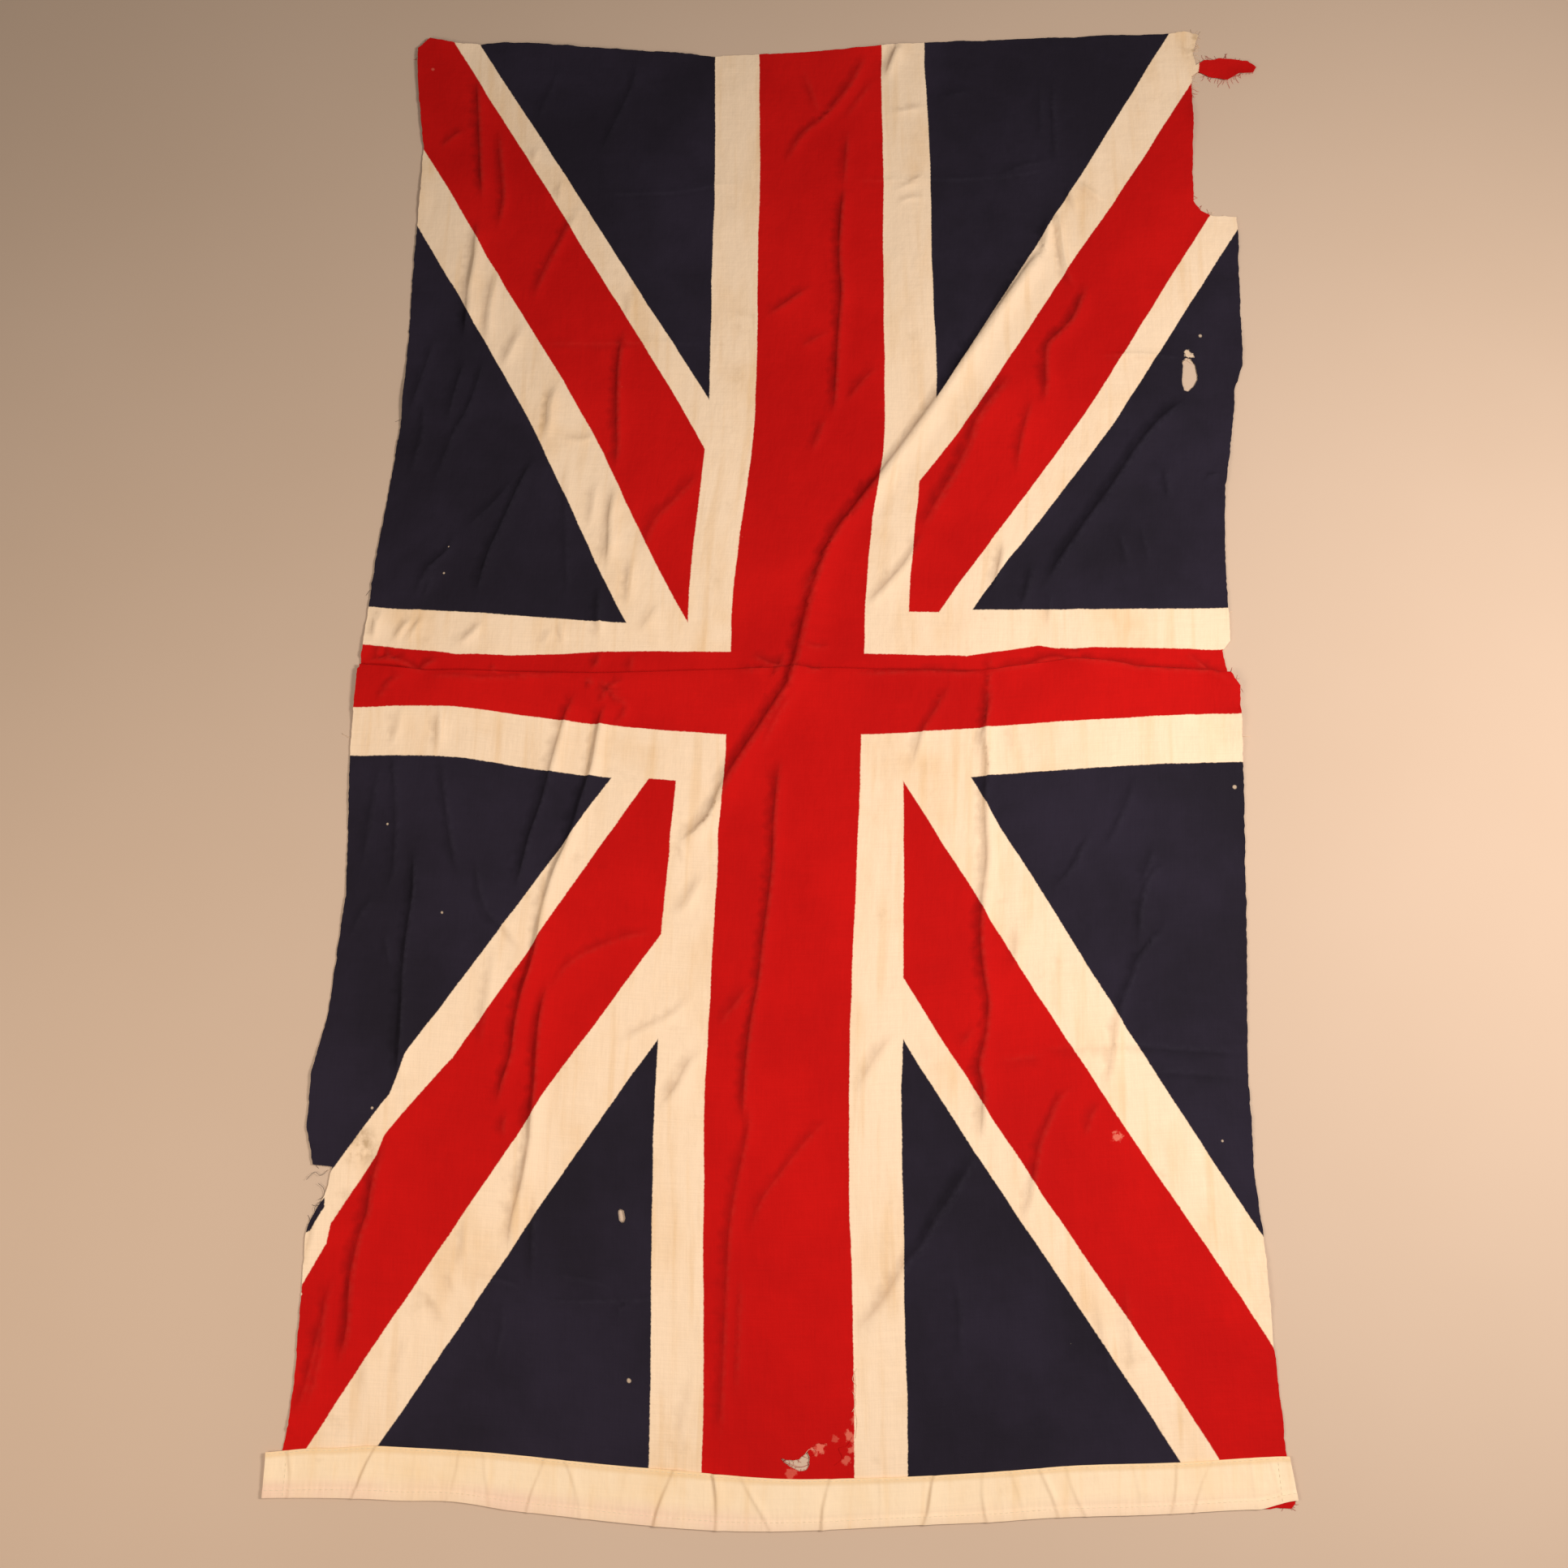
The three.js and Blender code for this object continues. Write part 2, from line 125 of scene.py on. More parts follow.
# Creases as (height, half width, crest over the floor). Each is steep on the right of its run and
# gentle on the left, so one that runs towards the hoist is steep on its -X side.
creases = [
    (3.6, 9, [(-383, 1480), (-376, 1423), (-370, 1367), (-364, 1319)]),
    (4.6, 10, [(-369, 1303), (-368, 1253), (-371, 1216), (-371, 1181), (-373, 1150)]),
    (2.6, 7, [(-354, 1415), (-348, 1372), (-342, 1332), (-343, 1308), (-345, 1284)]),
    (3.6, 8, [(-342, 1244), (-347, 1203), (-348, 1176), (-345, 1147)]),
    (2.2, 8, [(-259, 1323), (-270, 1293), (-289, 1244), (-304, 1199)]),
    (2.6, 8, [(-309, 1177), (-321, 1146), (-329, 1119)]),
    (1.3, 9, [(-205, 1519), (-208, 1483), (-218, 1449), (-229, 1418), (-241, 1384)]),
    (0.9, 8, [(-291, 1497), (-298, 1467), (-307, 1441), (-313, 1417)]),
    (1.6, 6, [(-283, 1352), (-282, 1324)]),
    (1.4, 6, [(-311, 1392), (-314, 1370)]),
    (1.8, 7, [(-199, 1218), (-199, 1185)]),
    (3.4, 8, [(-269, 1112), (-275, 1083), (-275, 1059), (-279, 1036)]),
    (2.9, 9, [(-286, 1025), (-302, 986), (-314, 951), (-327, 913), (-333, 883), (-336, 860)]),
    (1.5, 10, [(-303, 1002), (-325, 970), (-345, 947), (-361, 936)]),
    (2.2, 8, [(-362, 939), (-369, 915), (-386, 895), (-396, 871), (-400, 856)]),
    (1.4, 7, [(-378, 899), (-386, 874), (-391, 854)]),
    (1.5, 9, [(-402, 1164), (-407, 1134), (-414, 1103), (-420, 1074), (-423, 1058)]),
    (2.0, 9, [(-367, 1139), (-374, 1106), (-379, 1076), (-382, 1051)]),
    (1.7, 9, [(-347, 1139), (-355, 1097), (-363, 1069), (-376, 1037), (-389, 985)]),
    (1.8, 8, [(-411, 1090), (-406, 1051), (-410, 1021), (-413, 990)]),
    (3.4, 10, [(-201, 1175), (-205, 1141), (-205, 1103), (-203, 1065), (-201, 1026), (-202, 1006)]),
    (3.8, 10, [(-202, 1000), (-205, 955), (-204, 921), (-206, 896)]),
    (2.8, 8, [(-181, 916), (-181, 884), (-181, 859)]),
    (2.6, 8, [(-210, 887), (-211, 858), (-208, 817)]),
    (1.6, 13, [(-112, 1013), (-127, 992), (-142, 974), (-157, 956), (-164, 938), (-169, 911)]),
    (1.1, 11, [(-149, 866), (-160, 844), (-169, 828)]),
    (1.8, 7, [(-223, 1001), (-224, 967), (-226, 941)]),
    (1.4, 9, [(-389, 1409), (-403, 1401), (-417, 1385)]),
    (1.2, 5, [(-223, 1049), (-243, 1042), (-264, 1046)]),
    (0.8, 8, [(-254, 1026), (-250, 953), (-242, 864)]),
    (2.6, 6, [(-431, 848), (-436, 834), (-436, 813)]),
    (2.6, 6, [(-400, 842), (-410, 827), (-416, 812)]),
    (2.2, 6, [(-389, 844), (-397, 828), (-404, 812)]),
    (3.0, 7, [(-328, 841), (-337, 826), (-352, 811)]),
    (1.8, 6, [(-251, 840), (-244, 817)]),
    (1.2, 6, [(-259, 834), (-265, 815)]),
    (1.1, 8, [(-22, 1505), (-11, 1476), (0, 1439)]),
    (2.2, 8, [(52, 1527), (35, 1486), (18, 1458), (3, 1438), (-17, 1419), (-30, 1396), (-36, 1376)]),
    (1.0, 8, [(61, 1493), (45, 1467), (26, 1437)]),
    (1.6, 9, [(32, 1429), (30, 1386), (28, 1347)]),
    (3.6, 9, [
        (29, 1359), (26, 1305), (26, 1263), (29, 1226), (27, 1185), (26, 1147), (25, 1109), (24, 1077),
    ]),
    (1.7, 10, [(-1, 1233), (-29, 1210), (-55, 1189)]),
    (0.9, 9, [(18, 1179), (-16, 1156)]),
    (1.5, 10, [(71, 1139), (51, 1117), (35, 1092)]),
    (2.0, 8, [(15, 1080), (8, 1055), (2, 1035)]),
    (4.2, 10, [(90, 1543), (81, 1523), (71, 1491)]),
    (1.4, 7, [(116, 1459), (96, 1453), (77, 1448)]),
    (1.8, 7, [(119, 1375), (99, 1360), (80, 1353)]),
    (1.3, 6, [(117, 1344), (98, 1342), (85, 1333)]),
    (1.5, 8, [(261, 1500), (260, 1446), (262, 1407), (264, 1386)]),
    (0.8, 7, [(246, 1502), (245, 1414)]),
    (0.8, 8, [(264, 1398), (231, 1388), (206, 1377), (190, 1363)]),
    (1.0, 9, [(170, 1482), (127, 1468)]),
    (4.4, 8, [(253, 1331), (248, 1297), (244, 1267)]),
    (4.4, 8, [(259, 1341), (263, 1309), (266, 1280), (272, 1254), (283, 1237)]),
    (3.0, 7, [(271, 1366), (278, 1348), (283, 1332)]),
    (2.0, 7, [(279, 1372), (299, 1355), (315, 1345)]),
    (3.2, 11, [
        (295, 1249), (286, 1223), (277, 1201), (261, 1182), (250, 1169), (248, 1145), (248, 1120),
        (244, 1095),
    ]),
    (1.6, 9, [(235, 1112), (226, 1080), (219, 1048), (217, 1013)]),
    (3.0, 16, [
        (214, 1138), (190, 1103), (175, 1078), (166, 1050), (154, 1023), (141, 998), (128, 973),
        (118, 949),
    ]),
    (2.6, 11, [(121, 957), (104, 920), (88, 898), (70, 877), (55, 864)]),
    (2.0, 5, [(299, 1160), (316, 1159), (349, 1160), (398, 1158)]),
    (4.6, 14, [
        (399, 1112), (369, 1086), (346, 1057), (328, 1028), (310, 999), (293, 975), (275, 947),
        (258, 920), (246, 893),
    ]),
    (2.0, 7, [(371, 1038), (373, 1014), (376, 994)]),
    (1.5, 7, [(321, 962), (326, 940), (332, 917)]),
    (2.0, 7, [(427, 1025), (412, 1021)]),
    (3.2, 9, [(203, 947), (197, 914), (189, 884)]),
    (2.6, 8, [(233, 925), (227, 892), (219, 866)]),
    (1.0, 7, [(343, 973), (353, 920)]),
    (1.2, 9, [(251, 893), (246, 849)]),
    (2.6, 7, [
        (429, 793), (417, 804), (406, 808), (368, 808), (335, 809), (312, 813), (286, 814), (270, 816),
        (253, 818), (242, 816), (228, 810), (204, 805), (176, 799),
    ]),
    (2.2, 6, [(278, 822), (266, 827)]),
    (2.4, 6, [(424, 798), (409, 809), (397, 818), (384, 831)]),
    (1.8, 6, [(192, 798), (175, 798), (155, 798), (130, 798), (89, 796), (44, 793)]),
    (2.6, 6, [(18, 796), (7, 797), (-3, 801)]),
    (2.4, 6, [(-10, 799), (-22, 800), (-38, 803), (-58, 814)]),
    (1.6, 7, [(-32, 798), (-50, 796), (-70, 794)]),
    (1.4, 6, [(26, 822), (11, 822), (-4, 825)]),
    (3.6, 8, [(-377, 778), (-384, 782), (-394, 786), (-403, 791), (-419, 795), (-447, 792)]),
    (3.0, 7, [(-370, 798), (-383, 789), (-390, 783)]),
    (2.0, 5, [(-430, 811), (-431, 796)]),
    (2.2, 5, [(-422, 811), (-420, 795)]),
    (1.2, 5, [(-238, 784), (-264, 782), (-320, 777), (-352, 778), (-382, 778)]),
    (1.2, 5, [(-314, 796), (-311, 777)]),
    (2.2, 6, [(-208, 810), (-209, 798), (-217, 791)]),
    (2.6, 6, [(-220, 784), (-212, 772)]),
    (1.8, 7, [(-399, 779), (-415, 769), (-426, 748)]),
    (1.2, 7, [(-174, 809), (-175, 788)]),
    (1.8, 6, [(-20, 819), (-24, 804), (-34, 783)]),
    (2.4, 6, [(-179, 781), (-195, 771), (-205, 752)]),
    (2.4, 6, [(-209, 782), (-195, 769), (-184, 752)]),
    (1.4, 6, [(-180, 766), (-213, 768)]),
    (2.0, 7, [(189, 827), (184, 775), (179, 697)]),
    (1.6, 8, [(43, 963), (14, 917), (-8, 870)]),
    (1.3, 8, [(-4, 777), (-23, 751), (-41, 708)]),
    (6.6, 14.5, [
        (250, 1289), (226, 1254), (173, 1168), (124, 1088), (81, 1022), (50, 977), (24, 937), (6, 880),
        (-5, 826), (-14, 785), (-23, 768), (-72, 684), (-91, 640), (-121, 611),
    ]),
    (3.6, 9, [
        (-226, 770), (-236, 744), (-242, 718), (-248, 688), (-255, 651), (-264, 618), (-269, 590),
        (-276, 558),
    ]),
    (5.0, 9, [
        (-194, 760), (-200, 748), (-204, 725), (-208, 690), (-217, 653), (-226, 616), (-237, 587),
        (-244, 561), (-248, 539), (-251, 512), (-255, 489), (-261, 466), (-265, 437), (-267, 406),
        (-274, 378), (-279, 354),
    ]),
    (1.8, 7, [(-268, 356), (-269, 343), (-271, 328)]),
    (4.2, 9, [
        (-237, 480), (-242, 445), (-243, 414), (-243, 379), (-244, 346), (-244, 329), (-246, 309),
        (-249, 286), (-254, 262), (-256, 243), (-257, 223),
    ]),
    (1.9, 7, [(-234, 291), (-235, 259), (-234, 228), (-232, 194)]),
    (4.0, 9, [(-377, 607), (-373, 562), (-375, 525), (-376, 486), (-374, 445), (-373, 406), (-374, 374)]),
    (1.8, 7, [(-402, 750), (-403, 728), (-410, 700)]),
    (1.7, 7, [(-408, 708), (-401, 670), (-396, 634), (-394, 601), (-394, 575), (-402, 553)]),
    (2.6, 7, [(-364, 746), (-361, 698)]),
    (2.0, 7, [(-360, 703), (-352, 666), (-346, 637), (-338, 603), (-328, 573)]),
    (1.5, 7, [(-316, 604), (-310, 568), (-300, 543), (-283, 528), (-271, 514), (-261, 499)]),
    (1.3, 8, [(-416, 691), (-420, 653), (-422, 612), (-423, 576)]),
    (1.4, 8, [(-408, 557), (-422, 533), (-429, 509)]),
    (1.2, 6, [(-398, 521), (-388, 482)]),
    (1.8, 8, [(-290, 510), (-293, 473), (-295, 446), (-298, 408)]),
    (1.3, 8, [(-134, 529), (-173, 518), (-203, 504), (-222, 489), (-236, 465)]),
    (2.6, 8, [(-81, 654), (-97, 632), (-114, 620), (-122, 613)]),
    (1.6, 6, [(-121, 618), (-110, 596)]),
    (1.9, 8, [(-93, 590), (-102, 567), (-112, 551), (-127, 541)]),
    (1.6, 7, [(-94, 471), (-116, 449), (-138, 436), (-157, 425), (-172, 410)]),
    (3.0, 11, [(-83, 416), (-98, 403), (-105, 388), (-113, 374), (-128, 356)]),
    (3.4, 9, [
        (-21, 709), (-25, 646), (-25, 602), (-28, 561), (-32, 522), (-35, 482), (-40, 451), (-43, 420),
        (-45, 387), (-45, 345),
    ]),
    (1.6, 12, [(-41, 482), (-60, 455), (-75, 436)]),
    (1.2, 7, [(-205, 774), (-185, 761), (-177, 751), (-186, 735), (-196, 727)]),
    (3.8, 10, [
        (189, 794), (186, 766), (182, 736), (185, 707), (183, 674), (184, 641), (185, 608), (181, 576),
        (179, 546), (179, 524), (182, 497), (186, 474), (185, 449), (181, 427), (177, 410), (181, 389),
        (181, 367), (180, 336),
    ]),
    (3.8, 15, [
        (176, 331), (161, 304), (149, 284), (137, 267), (126, 246), (112, 230), (101, 211), (90, 193),
        (75, 175), (64, 157),
    ]),
    (1.8, 9, [(151, 792), (139, 770), (130, 754), (121, 739), (114, 713), (106, 691)]),
    (2.4, 7, [(291, 646), (279, 624), (270, 606), (258, 590), (247, 576)]),
    (1.5, 7, [(334, 705), (324, 670), (315, 652), (306, 632), (297, 617)]),
    (2.1, 7, [(366, 613), (348, 601), (338, 581), (334, 557), (333, 524)]),
    (2.4, 7, [
        (362, 553), (344, 533), (330, 514), (323, 494), (315, 474), (309, 451), (306, 430), (302, 407),
        (297, 384),
    ]),
    (1.5, 6, [(294, 379), (283, 367), (276, 344)]),
    (2.6, 7, [
        (270, 394), (252, 380), (242, 358), (234, 338), (230, 316), (226, 294), (221, 277), (212, 262),
    ]),
    (1.3, 7, [(233, 427), (264, 430), (289, 433), (328, 434), (366, 432), (428, 430)]),
    (0.9, 7, [(327, 409), (366, 410), (402, 408), (427, 406)]),
    (0.6, 7, [(191, 415), (242, 422)]),
    (1.1, 8, [(353, 633), (342, 605), (333, 578)]),
    (1.6, 12, [(215, 548), (213, 518), (208, 498)]),
    (2.0, 12, [(100, 440), (82, 417), (68, 393), (59, 374)]),
    (0.9, 9, [(173, 445), (157, 424)]),
    (4.2, 12, [
        (-376, 325), (-384, 298), (-387, 276), (-388, 258), (-392, 244), (-396, 223), (-398, 202),
        (-398, 179), (-397, 154), (-401, 135), (-404, 121),
    ]),
    (2.2, 7, [(-412, 203), (-419, 182), (-420, 166), (-424, 145), (-428, 118), (-432, 98), (-442, 77)]),
    (1.8, 7, [(-417, 177), (-419, 151), (-422, 112), (-430, 81)]),
    (1.4, 7, [(-298, 261), (-298, 228), (-301, 209)]),
    (1.1, 6, [(-309, 209), (-304, 191)]),
    (1.1, 6, [(-237, 183), (-245, 195), (-257, 201), (-283, 203), (-306, 200)]),
    (0.9, 6, [(-342, 198), (-318, 178), (-311, 159)]),
    (0.9, 6, [(-159, 199), (-186, 205), (-219, 208)]),
    (1.0, 6, [(-107, 199), (-121, 192), (-133, 189), (-200, 185), (-233, 187)]),
    (1.1, 6, [(-135, 191), (-151, 180), (-151, 168)]),
    (0.9, 8, [(-256, 189), (-257, 158), (-263, 121)]),
    (0.9, 8, [(-377, 138), (-378, 97)]),
    (0.8, 8, [(-341, 159), (-350, 110)]),
    (0.9, 8, [(-80, 129), (-87, 95), (-91, 59)]),
    (1.6, 6, [(-434, 260), (-439, 231), (-443, 205)]),
    (1.8, 9, [(-39, 374), (-41, 338), (-49, 293), (-54, 250), (-55, 192), (-55, 129), (-56, 68)]),
    (1.3, 9, [(41, 359), (19, 340), (-5, 309), (-26, 278), (-37, 243)]),
    (1.2, 8, [(-42, 221), (-42, 165), (-42, 102)]),
    (1.0, 9, [(309, 225), (314, 175), (316, 133)]),
    (1.0, 9, [(283, 210), (291, 161), (298, 126)]),
    (1.0, 8, [(155, 227), (160, 185), (161, 136)]),
    (0.9, 7, [(34, 1361), (188, 1370), (258, 1386)]),
    (0.9, 7, [(-243, 1333), (-158, 1339), (-110, 1350), (-75, 1352)]),
    (0.6, 7, [(-296, 1152), (-117, 1158)]),
]
creaseForm = {
    "steepSide": 0.5,  # of the half width, as is the gentle side
    "gentleSide": 1.25,
    "sharpness": 0.68,
    "endTaper": 34,
    "shortTaper": 0.38,  # of a short crease, what each end takes
    "uneven": 0.45,
    "unevenEvery": 38,
    "spacing": 5,  # of the points along a crest
    "wearReach": 2.4,
    "wearLeast": 0.35,
    "wearFull": 5,  # height that adds a full share of wear
    "shadeDirtLeast": 0.2,
    "shadeDirtFull": 4,
    "shadeDirtPlace": 0.75,  # place and width of the painted shade with some dirt, as shares of the steep side
    "shadeDirtWidth": 0.6,
    "takesUp": 0.62,  # cloth drawn into a crease, as a share of its height
    "drawLeast": 0.8,  # least cloth taken up that draws the print aside
    "drawReach": 90,
    "drawFade": 30,
}
ripples = {
    "height": 1.8,
    "across": 70,
    "along": 140,
    "share": 0.35,  # how much of the cloth the swells lift: more towards 1
    "fine": 0.46,
    "fineSize": 21,
    "fineStretch": 1.7,
    "underTape": 0.25,
    "tapeEnd": 30,  # where the cloth starts to be free of the tape, and where it is quite free
    "freeFrom": 110,
}
curl = {
    "reach": 22,
    "height": 3.0,
    "size": 85,
    "gain": 2.4,
    "least": 0.02,  # unevenness below which the edge stays down
    "falloff": 1.7,
    "clearOfPleat": 60,
    "clearOfTape": 55,
}

tape = {
    "left": -457,
    "right": 461,
    "width": 42,
    "top": [
        (-460, 37), (-406, 41), (-355, 45), (-246, 47), (-115, 46), (30, 41), (240, 38), (364, 34),
        (470, 37),
    ],
    "bottom": [
        (-460, -1), (-344, 1), (-287, 4), (-229, 1), (-41, -2), (103, 0), (211, -3), (355, -8),
        (425, -7), (462, 0.5),
    ],
    "thickness": 0.7,
    "gap": 0.3,
    "step": 1.3,
    "rows": 24,
    "puckerScale": 0.85,
    "puckerWidth": 0.62,
    "puckerFull": 3,  # height of a pucker that keeps its full rise: lower ones are made lower still
    "puckerContrast": 0.45,
    "puckerLean": 1.4,
    "puckerWander": 1.4,
    "puckerEnds": 0.55,  # height at its ends, as a share of its middle
    "puckerShadeDirtAt": 1.4,  # how far the painted shade, with some dirt, lies on the -X side of a crest, and how far it spreads
    "puckerShadeDirtReach": 1.5,
    "puckerFullShadeDirt": 2.6,  # height of a pucker with the full painted shade and dirt
    "puckers": [  # x, rise, half width, lean to the +X side at the foot
        (-438, 1.6, 7, 2), (-371, 2.6, 10, -14), (-327, 0.8, 7, 2), (-291, 1.3, 9, -6), (-262, 1.0, 7, 4),
        (-218, 1.6, 8, -8), (-184, 1.3, 9, 12), (-140, 0.7, 8, -6), (-104, 2.6, 11, -10), (-58, 3.0, 11, 4),
        (-22, 1.6, 9, 18), (40, 2.6, 11, -4), (88, 0.8, 8, 3), (132, 3.0, 10, -8), (181, 1.6, 9, 3),
        (211, 0.9, 7, 12), (239, 1.8, 8, 10), (262, 1.2, 8, 12), (318, 0.7, 9, 8), (351, 1.7, 9, -6),
        (376, 1.5, 9, -14), (421, 0.9, 7, 6), (440, 0.8, 6, 5),
    ],
    "roll": 0.5,
    "rollWidth": 5,
    "hem": 0.45,
    "hemWidth": 9,
    "stitchPull": 0.35,
    "comb": 0.16,  # the three small unevennesses between the puckers
    "ruck": 0.55,
    "crumple": 0.35,
    "combWave": (120, 200),  # where the comb has faded out on the +X side, and over how far
    "ruckSize": 5.5,
    "crumpleSize": (13, 19),
    "stitchReach": 1.6,
    "nearHemReach": 6.5,
    "endLift": (2.2, 1.2),  # at the left end and at the right
    "endMiddle": 2,
    "endFrom": 446,  # how far from the middle the ends start to lift, and where they are lifted
    "endTo": 459,
    "slantFrom": 440,  # where the right end starts to slant, and by how much at foot and top
    "slant": (2, -4),
}
stitching = {
    "length": 3.4,
    "every": 4.9,
    "start": 1.5,
    "sink": 0.25,  # how far the ends of a stitch go in, and how far its middle stands out
    "stand": 0.12,
    "radius": 0.24,
    "inset": 9,
    "topInset": 2.2,
    "leftInset": 18.2,
    "rightInset": 14.3,
}


def smooth(place, start, end):
    t = np.clip((place - start) / (end - start), 0, 1)
    return t * t * (3 - 2 * t)


# The value at a place between stations, each of them (place, value).
def valueAt(stations, place):
    places, values = np.array(stations, float).T
    after = np.clip(np.searchsorted(places, place), 1, len(places) - 1)
    share = smooth(place, places[after - 1], places[after])
    return values[after - 1] + (values[after] - values[after - 1]) * share


def bow(across):
    return clothLie["bow"] * np.sin(math.pi / 2 * across / clothLie["halfWidth"]) ** 2


# The pleat is deeper towards the sides, where it takes up the bow of the hoist half.
def foldedBack(across):
    return pleat["depth"] + bow(across) / 2


def firstBend(across):
    return pleat["line"] + valueAt(pleat["stray"], across) - bow(across)


# The open places along the pleat's edge, as the height of the lip at x.
def mouthLift(x):
    lift = np.zeros_like(x)
    for middle, reach, height in pleat["mouths"]:
        lift = np.maximum(lift, height * (1 - smooth(np.abs(x - middle), 0, reach)))
    return lift


# Places where the cloth was pushed along the floor a little.
def shoved(x, y, way=1):
    for middleX, middleY, reachX, reachY, moveX, moveY in clothLie["shoves"]:
        near = np.exp(-(((x - middleX) / reachX) ** 2) - ((y - middleY) / reachY) ** 2)
        x, y = x + way * moveX * near, y + way * moveY * near
    return x, y


# Where the flat cloth lies: x, y, height and the angle that it has turned through.
def pleatSection(across, along):
    past = along - firstBend(across)
    depth = foldedBack(across)
    pitch = pleat["pitch"]
    ramp = 1 - smooth(-past, depth + pleat["rampStart"], depth + pleat["rampEnd"])
    firstTurn = past / bendRadius
    secondTurn = (past - bendLength - depth) / bendRadius
    stretches = [past < 0, past < bendLength, past < bendLength + depth, past < 2 * bendLength + depth]
    run = np.select(
        stretches,
        [past, bendRadius * np.sin(firstTurn), bendLength - past, -depth - bendRadius * np.sin(secondTurn)],
        past - takenUp - bow(across),
    )
    height = np.select(
        stretches,
        [
            2 * pitch * ramp,
            1.5 * pitch + bendRadius * np.cos(firstTurn),
            pitch + 0 * past,
            0.5 * pitch + bendRadius * np.cos(secondTurn),
        ],
        0 * past,
    )
    turn = np.select(stretches, [0 * past, -firstTurn, -math.pi + 0 * past, secondTurn - math.pi], 0 * past)
    fromLip = np.select(stretches[:3], [-past, 0 * past, past - bendLength], depth)
    x = across + valueAt(clothLie["sway"], along)
    y = along - past + run + clothLie["skew"] * across + bow(across)
    height = height + mouthLift(x) * (1 - smooth(fromLip, 0, depth)) ** 0.8
    return *shoved(x, y), height, turn


# Where on the flat cloth a place over the floor comes from, for what shows from above.
def cutPlace(x, y):
    x, y = shoved(x, y, -1)
    overPleat = y < pleat["line"] + valueAt(pleat["stray"], x) + clothLie["skew"] * x
    across, along = x + 0.0, y + 0.0
    for _ in range(6):
        along = y - clothLie["skew"] * across + np.where(overPleat, -bow(across), takenUp)
        across = x - valueAt(clothLie["sway"], along)
    return across, along


# Points of a smooth line through the given ones, a step apart, with the distance gone.
def smoothLine(points, step):
    spots = np.array([points[0], *points, points[-1]], float)
    line = []
    for a, b, c, d in zip(spots, spots[1:], spots[2:], spots[3:]):
        pieces = max(1, round(np.linalg.norm(c - b) / step))
        for piece in range(pieces):
            t = piece / pieces
            bend = (2 * a - 5 * b + 4 * c - d) * t * t
            line.append(0.5 * (2 * b + (c - a) * t + bend + (3 * b - a - 3 * c + d) * t**3))
    line = np.array([*line, spots[-1]])
    gone = np.concatenate([[0], np.cumsum(np.linalg.norm(np.diff(line, axis=0), axis=1))])
    return line, gone


creaseLines = [smoothLine(crest, creaseForm["spacing"]) for _, _, crest in creases]


def waver(place, seed):
    return noise.noise(Vector((place, 17.3 * seed, 3.1)))


